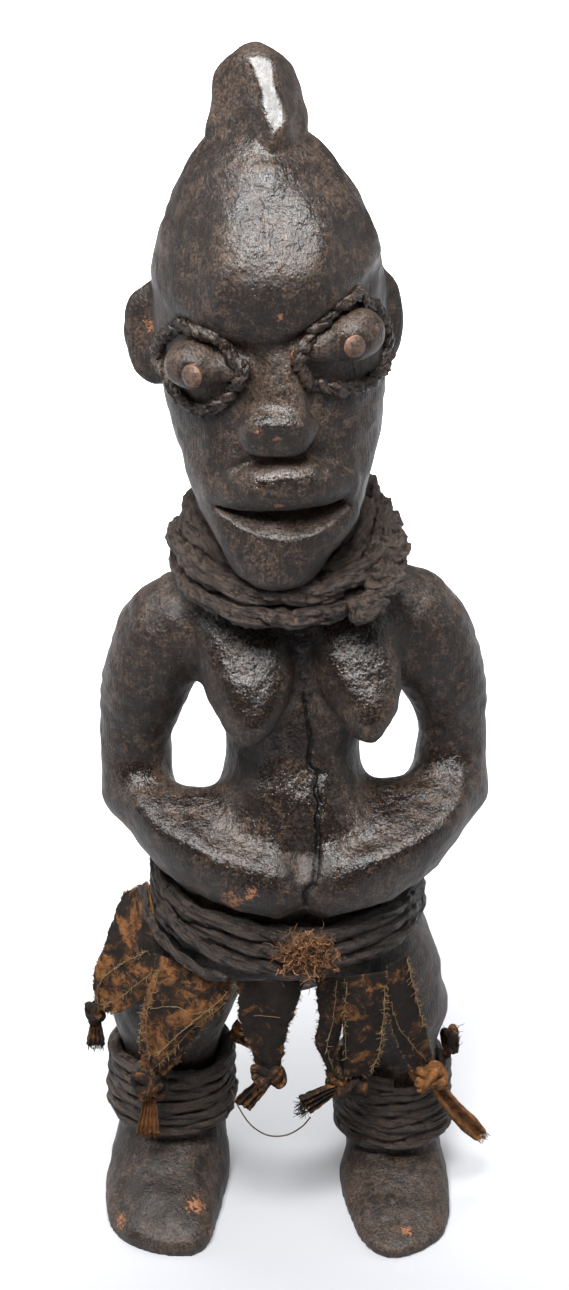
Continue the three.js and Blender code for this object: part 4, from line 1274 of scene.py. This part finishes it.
def loose_thread(material):
    """One thread that hangs in a loop. Its ends stop just short of the right wrapping and the left tie."""
    path = spline(LOOSE_THREAD, 60)
    curve = bpy.data.curves.new("loose_thread_strand", "CURVE")
    curve.dimensions = "3D"
    line = curve.splines.new("POLY")
    line.points.add(len(path) - 1)
    for point, place in zip(line.points, to_frame(path)):
        point.co = (*place, 1)
    curve.bevel_depth = THREAD_RADIUS * METRES
    curve.bevel_resolution = 2
    curve.materials.append(material)
    piece = bpy.data.objects.new("loose_thread_strand", curve)
    bpy.context.scene.collection.objects.link(piece)
    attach(piece, BODY)
    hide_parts("loose_thread")


# ---- cloth ----
CLOTH_THICK = 0.7
FRONT = (0, -1, 0)


class Cloth:
    """A sheet that hangs from its first row to its last. A row is [left end, right end, bulge]."""

    def __init__(self, rows, out=FRONT, folds=(), wrinkle=0.5, ragged=0.6, seed=0):
        self.rows = np.array([[*left, *right, *(bulge or [0])] for left, right, *bulge in rows], float)
        self.out = np.array(out, float) / np.linalg.norm(out)
        self.folds, self.wrinkle, self.ragged, self.seed = folds, wrinkle, ragged, seed
        mid = (self.rows[:, :3] + self.rows[:, 3:6]) / 2
        self.length = run_length(mid)[-1]
        self.width = np.linalg.norm(self.rows[:, :3] - self.rows[:, 3:6], axis=1).max()
        self.share = run_length(mid) / self.length

    def at(self, u, v, lift=0.0):
        """The point a share u of the way across and v of the way down."""
        u, v = np.broadcast_arrays(np.asarray(u, float), np.asarray(v, float))
        flat_u, flat_v = u.ravel(), v.ravel()
        row = hermite(flat_v, np.column_stack([self.share, self.rows]))
        left, right, bulge = row[:, :3], row[:, 3:6], row[:, 6]
        across = (right - left) / np.linalg.norm(right - left, axis=1, keepdims=True)
        zero = flat_v * 0
        for edge, place, sign in ((0, left, 1), (1, right, -1)):
            where = np.column_stack([flat_v * self.length, zero + 9 * edge, zero])
            nibble = lumps(where, 3.5, self.seed + edge) + 0.7 * lumps(where, 0.9, self.seed + 2 + edge)
            place += (sign * self.ragged * 0.6 * nibble)[:, None] * across
        point = left + (right - left) * flat_u[:, None]
        hem = np.column_stack([flat_u * self.width, zero, zero])
        drop = self.ragged * lumps(hem, 1.1, self.seed + 5) * np.clip(flat_v * 4 - 3, 0, 1)
        point[:, 2] -= drop
        rise = bulge * np.sin(np.pi * flat_u) + lift
        for count, depth, slant, phase in self.folds:
            swing = 2 * np.pi * (count * flat_u + slant * flat_v + phase)
            rise += depth * np.sin(swing) * (0.25 + 0.75 * flat_v)
        where = np.column_stack([flat_u * self.width, flat_v * self.length * 0.6, zero])
        rise += self.wrinkle * (lumps(where, 5.5, self.seed + 8) + 0.45 * lumps(where, 2.2, self.seed + 9))
        return point + rise[:, None] * self.out

    def piece(self, name, material, nodes, body=BODY, across=44, down=72):
        u, v = np.meshgrid(np.linspace(0, 1, across), np.linspace(0, 1, down), indexing="ij")
        front = self.at(u, v, CLOTH_THICK / 2)
        back = self.at(u, v, -CLOTH_THICK / 2)
        n = across * down
        i, j = np.meshgrid(np.arange(across - 1), np.arange(down - 1), indexing="ij")
        quads = np.stack([i * down + j, (i + 1) * down + j, (i + 1) * down + j + 1, i * down + j + 1],
                         axis=-1).reshape(-1, 4)
        rim = [k * down for k in range(across)] + [(across - 1) * down + k for k in range(1, down)]
        rim += [k * down + down - 1 for k in range(across - 2, -1, -1)] + [k for k in range(down - 2, 0, -1)]
        edge = [[rim[k], rim[k] + n, rim[(k + 1) % len(rim)] + n,
                 rim[(k + 1) % len(rim)]] for k in range(len(rim))]
        faces = quads[:, ::-1].tolist() + (quads + n).tolist() + edge
        made = build(name, np.vstack([front, back]), faces)
        bmesh_tidy(made)
        where = np.column_stack([u.ravel() * self.width, v.ravel() * self.length,
                                 u.ravel() * 0 + self.seed * 40])
        put_mark(made, "weave", np.vstack([where, where]))
        near = np.minimum(np.minimum(u, 1 - u).ravel() * self.width, (1 - v).ravel() * self.length)
        put_mark(made, "edge", np.tile(np.clip(1 - near / 2.2, 0, 1), 2))
        finish_piece(made, material, nodes, body)
        return made

    def flat_area(self):
        widths = np.linalg.norm(self.rows[:, :3] - self.rows[:, 3:6], axis=1)
        gaps = np.diff(self.share) * self.length
        return float(((widths[1:] + widths[:-1]) / 2 * gaps).sum())

    def fringe(self, bundle, edges="lrb", density=1.3, length=1.7):
        """Short frayed threads along the left, right and bottom edges."""
        for edge in edges:
            span = self.width if edge in "tb" else self.length
            for at in bundle.random.uniform(0, 1, int(span * density)):
                u, v = {"l": (0.0, at), "r": (1.0, at), "b": (at, 1.0), "t": (at, 0.0)}[edge]
                inner = {"l": (0.04, at), "r": (0.96, at), "b": (at, 0.97), "t": (at, 0.03)}[edge]
                root, start = self.at([u, inner[0]], [v, inner[1]])
                way = (root - start) / max(np.linalg.norm(root - start),
                                           1e-6) + bundle.random.normal(size=3) * 0.45
                bundle.hairs([root - 0.4 * way], [way], length, 0.13, 0.6, 4, 4, (0.0, 1.0))

    def seam(self, bundle, line, radius=0.24, whiskers=0, lift=0.55):
        """A thread along a line of places on the cloth, with short whiskers beside it."""
        uv = spline([[u, v, 0] for u, v in line], 40)
        path = self.at(uv[:, 0], uv[:, 1], lift)
        path = wavy(path, 0.18, 2.0, self.seed + 3)
        bundle.strand(path, radius, 6, rough=0.3, size=1.0, tint=bundle.random.uniform(0.2, 0.7))
        if whiskers:
            picks = bundle.random.integers(0, len(path) - 1, whiskers)
            ways = bundle.random.normal(size=(whiskers, 3)) + 0.5 * self.out
            bundle.hairs(path[picks], ways, 2.4, 0.13, 0.7, 4, 4, (0.4, 1.0))


def bmesh_tidy(piece):
    """Points every face outwards."""
    work = bmesh.new()
    work.from_mesh(piece.data)
    bmesh.ops.recalc_face_normals(work, faces=work.faces)
    work.to_mesh(piece.data)
    work.free()


def hang(cloth, name, node, material, thread, body=BODY, seams=(), edges="lrb", density=1.3):
    """Makes a hanging cloth with its frayed edge."""
    piece = cloth.piece(name, material, [node], body)
    bundle = Bundle(len(name))
    cloth.fringe(bundle, edges, density)
    for seam in seams:
        cloth.seam(bundle, **seam)
    fringe = bundle.piece(name + "_threads", thread, "old_cloth", body=body)
    width, length = max(cloth.width, 10) * METRES, max(cloth.length, 10) * METRES
    min(cloth.flat_area() * METRES**2, width * length)
    return piece


def aprons(material, thread):
    back = Cloth(
        [
            [(-60.5, -6, 127.5), (-50.5, -17, 138.5)],
            [(-64.8, -10, 116.1), (-46, -27, 122), 0.5],
            [(-68.3, -12, 105.9), (-44, -28.5, 112), 1],
            [(-72, -14, 94), (-48, -28, 102), 1],
            [(-71.2, -15, 85.8), (-54.5, -26.5, 92.5)],
            [(-68.5, -18, 81), (-61.6, -22.8, 85.6)],
        ],
        (-0.6, -0.8, 0.05), [(1.0, 0.9, 0.4, 0.1)], 0.6, 0.8, 101,
    )
    torn = {"line": [(0.02, 0.95), (0.1, 0.75), (0.3, 0.6), (0.52, 0.5), (0.75, 0.42)], "radius": 0.2,
            "whiskers": 70}
    cross = {"line": [(0.98, 0.5), (0.75, 0.72), (0.5, 0.86), (0.25, 0.92), (0.03, 0.97)], "radius": 0.18,
             "whiskers": 30}
    hang(back, "right_apron_back_cloth", "right_apron_back", material, thread, seams=[torn, cross],
         edges="tlb", density=2.2)
    front = Cloth(
        [
            [(-47.5, -30, 116), (-18.6, -42.5, 112.2)],
            [(-50, -33, 105), (-21, -42, 103), 1],
            [(-53, -35, 93), (-29, -39, 91), 2],
            [(-54, -34, 79), (-37, -37, 77), 2],
            [(-54, -33, 67), (-45, -35, 65)],
        ],
        FRONT, [(1.6, 0.9, 0.5, 0.0), (3.2, 0.35, -0.6, 0.3)], 0.6, 0.5, 111,
    )
    seams = [
        {"line": [(0.1, 0.02), (0.06, 0.3), (0.1, 0.6), (0.3, 0.97)], "radius": 0.19, "whiskers": 40},
        {"line": [(0.95, 0.12), (0.8, 0.4), (0.6, 0.62), (0.35, 0.85)], "radius": 0.19, "whiskers": 40},
        {"line": [(0.99, 0.22), (0.85, 0.5), (0.7, 0.72), (0.5, 0.92)], "radius": 0.16, "whiskers": 20},
        {"line": [(0.1, 0.4), (0.4, 0.33), (0.7, 0.36), (0.9, 0.3)], "radius": 0.14, "whiskers": 10},
    ]
    hang(front, "right_apron_front_cloth", "right_apron_front", material, thread, seams=seams, density=1.6)


def strips(material, thread):
    knot = Bundle(121)
    knot.knot((-5.8, -42, 69.5), (6.6, 3.6, 4.8), 1.9, 0.4)
    knot.knot((-6.5, -42.2, 69), (4.6, 3.2, 3.8), 1.7, 1.7, turn=(0, 50, 20))
    tail = spline([(-6.5, -42, 70), (-9.5, -42.6, 65), (-13, -42, 60.5), (-16, -41.6, 56)], 24)
    knot.band(tail, np.linspace(5, 7.6, 24), 0.8, FRONT, 3, 0.7, 18, ragged=0.1)
    knot_piece = knot.piece("centre_strip_knot", material["knot"], "old_cloth", body="hanging_strip")
    centre = Cloth(
        [
            [(-17.5, -42, 111.6), (7.2, -42, 111.6)],
            [(-17, -42, 102), (4.8, -42, 102), 0.8],
            [(-15.5, -42, 90), (1.2, -42, 90), 1.2],
            [(-11.5, -42, 79), (-0.5, -42, 79), 1],
            [(-9.5, -42, 71), (-2, -42, 71)],
        ],
        FRONT, [(1.2, 0.8, 0.3, 0.2)], 0.5, 1.1, 121,
    )
    bar = {"line": [(0.28, 0.36), (0.5, 0.35), (0.75, 0.36)], "radius": 0.18}
    hang(
        centre, "centre_strip_cloth", "centre_strip", material["cloth"], thread,
        body="hanging_strip", seams=[bar], edges="lrb", density=2.4,
    )
    inner = Cloth(
        [
            [(11.5, -42, 113), (21.9, -42.5, 113.5)],
            [(12, -41, 102), (21.8, -41, 102), 0.6],
            [(12.6, -39.5, 91), (21.6, -39, 91), 1],
            [(11.5, -37.5, 82), (20.5, -37, 82), 2],
            [(14.4, -36, 73), (20, -36, 73), 1],
            [(16.4, -34.5, 63), (21.3, -34.5, 63)],
        ],
        FRONT, [(1.0, 0.8, 0.6, 0.5)], 0.6, 0.9, 131,
    )
    line = {"line": [(0.75, 0.02), (0.62, 0.3), (0.5, 0.6), (0.55, 0.9)], "radius": 0.16, "whiskers": 16}
    hang(inner, "left_inner_strip_cloth", "left_inner_strip", material["cloth"], thread, seams=[line],
         density=2.2)
    middle = Cloth(
        [
            [(22.2, -44, 114.8), (37, -41.5, 115.5)],
            [(21.8, -42.5, 104), (37.6, -40.5, 104), 0.8],
            [(21.6, -40.5, 91), (37.2, -39, 91), 1],
            [(22, -38, 77), (36, -37.5, 77), 0.8],
            [(22.6, -35.8, 65), (31.5, -35.6, 65)],
        ],
        FRONT, [(0.8, 0.5, 0.2, 0.0)], 0.35, 0.5, 141,
    )
    stitched = [
        {"line": [(0.955, 0.12), (0.96, 0.4), (0.95, 0.7), (0.93, 0.95)], "radius": 0.22, "whiskers": 90},
        {"line": [(0.05, 0.05), (0.05, 0.4), (0.06, 0.8)], "radius": 0.17, "whiskers": 40},
    ]
    hang(middle, "left_middle_strip_cloth", "left_middle_strip", material["cloth"], thread, seams=stitched,
         edges="rb", density=1.6)
    outer = Cloth(
        [
            [(37.8, -39.4, 117), (45, -34, 117.5)],
            [(38.2, -38.8, 104), (48, -32.6, 104), 0.6],
            [(39.4, -37, 90), (51, -29.6, 90), 1],
            [(43.4, -32.8, 76), (54, -25.6, 76), 1],
            [(48.4, -29.4, 63.5), (56, -22.6, 63.5)],
        ],
        (0.3, -1, 0), [(1.0, 0.7, 0.3, 0.1)], 0.45, 0.6, 151,
    )
    edge = [
        {"line": [(0.97, 0.02), (0.96, 0.3), (0.95, 0.62)], "radius": 0.22, "whiskers": 60},
        {"line": [(0.08, 0.3), (0.2, 0.55), (0.45, 0.8), (0.7, 0.98)], "radius": 0.16, "whiskers": 14},
    ]
    hang(outer, "left_outer_strip_cloth", "left_outer_strip", material["cloth"], thread, seams=edge,
         edges="lrb", density=1.4)


def ties(material):
    """The knots and short tails over the shin wrappings, and the apron's knotted corner."""
    corner = Bundle(161)
    corner.knot((-71.9, -15.9, 80.8), (3.8, 3.7, 4.0), 1.6, 0.9)
    corner.knot((-71.9, -16.2, 80.4), (2.8, 3.4, 3.2), 1.5, 2.2, turn=(20, 60, 0))
    path = spline([(-71.9, -16.3, 78.4), (-71.7, -17, 75), (-71.8, -16.8, 71), (-72, -16.2, 65.8)], 24)
    corner.band(path, np.linspace(3.6, 7, 24), 0.7, FRONT, 4, 0.6, 18, ragged=0.12)
    corner.hairs(path[-1] + corner.random.uniform(-1, 1, (40, 3)) * [3.2, 0.6, 0.3],
                 np.tile([0, 0, -1.0], (40, 1)), 2.6, 0.13, 0.4)
    corner.piece("right_corner_tail_cloth", material["knot"], "old_cloth", ["right_corner_tail"],
                 "hanging_corner")

    knot = Bundle(162)
    knot.knot((-51, -32.4, 58.6), (6.8, 4.0, 5.2), 2.0, 0.2)
    knot.knot((-51, -32.8, 58.4), (5.2, 3.6, 4.0), 1.7, 1.4, turn=(0, 40, 0))
    knot.piece("right_tie_knot_cloth", material["knot"], "old_cloth", ["right_tie_knot"])
    tail = Bundle(163)
    path = spline([(-51, -32.6, 53.4), (-51.2, -33.2, 48), (-51.6, -33, 42), (-51.9, -32.6, 37)], 24)
    tail.band(path, np.linspace(4.6, 8.8, 24), 0.8, FRONT, 5, 0.9, 26, tint=0.9, ragged=0.08)
    tail.hairs(path[-1] + tail.random.uniform(-1, 1, (60, 3)) * [4, 0.8, 0.3],
               np.tile([0, 0, -1.0], (60, 1)), 2.2, 0.13, 0.4, tint=(0.6, 1))
    tail.piece("right_tie_tail_cloth", material["rust"], "old_cloth", ["right_tie_tail"], "hanging_tie")

    flap = Bundle(164)
    path = spline([(-20.5, -7, 66.5), (-17.5, -9, 65.5), (-14.6, -10, 63.5), (-12.4, -10.4, 61.4)], 20)
    flap.band(path, np.linspace(8.5, 3.4, 20), 1.4, (0.3, -1, 0.2), 2, 0.5, 14, tint=0.05, ragged=0.14)
    flap.piece("right_inner_flap_cloth", material["knot"], "old_cloth", ["right_inner_flap"])

    inner = Bundle(165)
    inner.knot((23.5, -33, 58.4), (8.0, 4.2, 4.2), 2.0, 0.6)
    inner.blob((26, -33, 58.6), (5.4, 3.6, 3.8), 0.25, 3)
    path = spline([(20, -33.4, 58), (15.5, -34.6, 56), (11.5, -35, 53.4), (7.8, -35.2, 51)], 26)
    inner.band(path, np.linspace(4.6, 8.6, 26), 0.9, FRONT, 4, 0.9, 22, tint=0.85, ragged=0.14)
    fan = inner.random.normal(size=(90, 3)) * [0.5, 0.3, 0.6] + [-1.0, -0.1, -0.5]
    inner.hairs(path[-1] + inner.random.uniform(-1, 1, (90, 3)) * [1.6, 0.8, 3.4], fan, 4.0, 0.15, 0.4,
                tint=(0.3, 1))
    inner.piece("left_inner_tie_cloth", material["knot"], "old_cloth", ["left_inner_tie"])

    outer = Bundle(166)
    outer.knot((54.6, -26.2, 58), (7.2, 4.6, 5.0), 2.1, 0.3)
    outer.knot((55.5, -26.6, 57), (5.2, 4.0, 4.2), 1.8, 1.5, turn=(0, 70, 0), tint=0.9)
    path = spline([(57, -26.6, 56), (61.5, -24.6, 47), (67, -21, 37), (75.6, -15.4, 23.4)], 40)
    outer.band(path, np.concatenate([np.linspace(5, 7.4, 30), np.linspace(7.4, 6, 10)]), 1.1,
               (0.35, -0.9, 0.1), 1.5, 1.3, 20, tint=0.95, ragged=0.06)
    ends = path[-1] + outer.random.uniform(-1, 1, (70, 3)) * [2.2, 1.4, 1.6]
    outer.hairs(ends, np.tile([0.55, 0.15, -0.8], (70, 1)), 3.0, 0.14, 0.5, tint=(0.2, 1))
    outer.piece("left_outer_tie_cloth", material["rust"], "old_cloth", ["left_outer_tie"])

    back = Bundle(167)
    back.knot((64.4, 4, 53.8), (3.4, 4.6, 5.6), 1.5, 0.8)
    back.hairs(np.array([64.4, 4, 54.6]) + back.random.normal(size=(60, 3)) * [1.8, 1.8, 3],
               back.random.normal(size=(60, 3)) + [0.8, -0.3, 0.4], 3.2, 0.15, 0.6, tint=(0.4, 1))
    back.piece("left_back_tie_cloth", material["knot"], "old_cloth", ["left_back_tie"])


# ---- finishes ----
def cord_material():
    """Twisted fibre under an old crust."""
    made = Recipe("encrusted cord")
    strand = made.mark("strand").outputs["Vector"]
    spot = made.place()
    fibres = made.noise(made.scaled(strand, (0.12, 1, 1)), 0.9, 5, 0.65)
    crust = made.noise(spot, 2.6, 8, 0.75, 0.3)
    speck = made.noise(spot, 0.6, 4, 0.75)
    dark = made.mix(made.step(fibres, 0.4, 0.6), (0.006, 0.004, 0.0032), (0.05, 0.033, 0.025))
    dusty = made.mix(made.step(speck, 0.4, 0.62), (0.033, 0.0215, 0.0155), (0.15, 0.098, 0.07))
    colour = made.mix(made.step(crust, 0.43, 0.58), dark, dusty)
    colour = made.mix(made.step(made.noise(spot, 2.4, 6, 0.8), 0.62, 0.69), colour, (0.19, 0.082, 0.04))
    shade = made.between(made.mark("tint").outputs["Fac"], 0.5, 1.5)
    colour = made.mix(1.0, colour, shade, blend="MULTIPLY")
    rough = made.math("ADD", made.math("MULTIPLY", made.step(crust, 0.4, 0.6), 0.35), 0.28, clamp=True)
    normal = made.bump(made.step(fibres, 0.36, 0.64), 0.8, 1.0)
    normal = made.bump(crust, 2.4, 1.0, normal)
    normal = made.bump(speck, 0.5, 0.8, normal)
    return made.finish(colour, rough, normal, Specular_IOR_Level=0.58)


def fibre_material(name, dark, light, rough=0.85):
    """Dry bare fibre; each one has its own shade."""
    made = Recipe(name)
    strand = made.mark("strand").outputs["Vector"]
    grain = made.noise(made.scaled(strand, (0.3, 2, 2)), 0.6, 3, 0.6)
    shade = made.math("ADD", made.math("MULTIPLY", made.mark("tint").outputs["Fac"], 0.8),
                      made.math("MULTIPLY", grain, 0.3))
    return made.finish(made.mix(shade, dark, light), made.between(grain, rough - 0.15, rough),
                       made.bump(grain, 0.15, 0.6), Specular_IOR_Level=0.25)


def cloth_material(name, mark, rust):
    """Coarse plain weave, stiff with dirt and stained by rust-red earth. rust is how far that spreads."""
    made = Recipe(name)
    flat = made.mark(mark).outputs["Vector"]
    spot = made.place()
    threads = []
    for way in ((1, 0, 0), (0, 1, 0)):
        along = made.node("ShaderNodeVectorMath", {0: flat, 1: way}, operation="DOT_PRODUCT").outputs["Value"]
        wobble = made.math("MULTIPLY", made.noise(flat, 2.5, 2), 0.8)
        swing = made.math("SINE", made.math("MULTIPLY", made.math("ADD", along, wobble), 2 * math.pi / 0.62))
        threads.append(made.between(made.math("ADD", made.math("MULTIPLY", swing, 0.5), 0.5), 0.0, 1.0))
    weave = made.math("MAXIMUM", threads[0], threads[1])
    stain = made.noise(spot, 10, 9, 0.72, 0.6)
    grime = made.noise(spot, 3.4, 6, 0.7, 0.3)
    speck = made.noise(spot, 0.8, 3, 0.7)
    dark = made.mix(made.step(grime, 0.3, 0.7), (0.0055, 0.0038, 0.003), (0.024, 0.016, 0.0115))
    red = made.mix(made.step(grime, 0.3, 0.62), (0.045, 0.0185, 0.007), (0.34, 0.14, 0.043))
    stained = made.step(made.math("ADD", stain, made.math("MULTIPLY", speck, 0.14)), 0.59 - rust, 0.74 - rust)
    colour = made.mix(stained, dark, red)
    colour = made.mix(made.math("MULTIPLY", weave, 0.4), made.mix(0.55, colour, (0.008, 0.006, 0.005)),
                      colour)
    normal = made.bump(weave, 0.3, 0.7)
    normal = made.bump(grime, 1.0, 0.6, normal)
    return made.finish(colour, made.between(grime, 0.78, 1.0), normal, Specular_IOR_Level=0.2)


def copper_material():
    made = Recipe("worn copper")
    spot = made.place()
    rim = made.mark("rim").outputs["Fac"]
    tarnish = made.noise(spot, 1.6, 6, 0.7)
    speck = made.noise(spot, 0.4, 4, 0.7)
    worn = made.mix(made.step(tarnish, 0.35, 0.65), (0.15, 0.09, 0.06), (0.04, 0.028, 0.022))
    edge = made.math("ADD", rim, made.math("MULTIPLY", made.math("ADD", speck, tarnish), 0.4))
    colour = made.mix(made.step(edge, 1.28, 1.5), worn, (0.4, 0.15, 0.07))
    roughness = made.between(speck, 0.35, 0.65)
    return made.finish(colour, roughness, made.bump(tarnish, 0.5, 0.8), Metallic=0.4)


def iron_material():
    made = Recipe("rusted iron")
    spot = made.place()
    flake = made.noise(spot, 0.9, 6, 0.75)
    colour = made.mix(made.step(flake, 0.35, 0.65), (0.06, 0.022, 0.014), (0.24, 0.085, 0.045))
    return made.finish(colour, made.between(flake, 0.6, 0.95), made.bump(flake, 0.4, 0.8),
                       Specular_IOR_Level=0.3)


def make_everything():
    add_camera()
    khaki = fibre_material("khaki thread", (0.04, 0.024, 0.014), (0.25, 0.165, 0.08))
    loose_thread(khaki)
    add_studio()
    wood = carve()
    carved_figure(wood)
    cord = cord_material()
    eye_cords(wood, bpy.data.materials["patinated wood"])
    neck_cords(cord)
    hip_cords(cord)
    shin_wraps(cord)
    eye_pins(copper_material(), iron_material())
    fibre_tuft(fibre_material("raw fibre", (0.01, 0.006, 0.004), (0.42, 0.2, 0.09)))
    cloths = {
        "cloth": cloth_material("old cloth", "weave", 0.0),
        "apron": cloth_material("stained cloth", "weave", 0.085),
        "knot": cloth_material("knotted cloth", "strand", 0.05),
        "rust": cloth_material("rust-stained cloth", "strand", 0.25),
    }
    aprons(cloths["apron"], khaki)
    strips(cloths, khaki)
    ties(cloths)


make_everything()
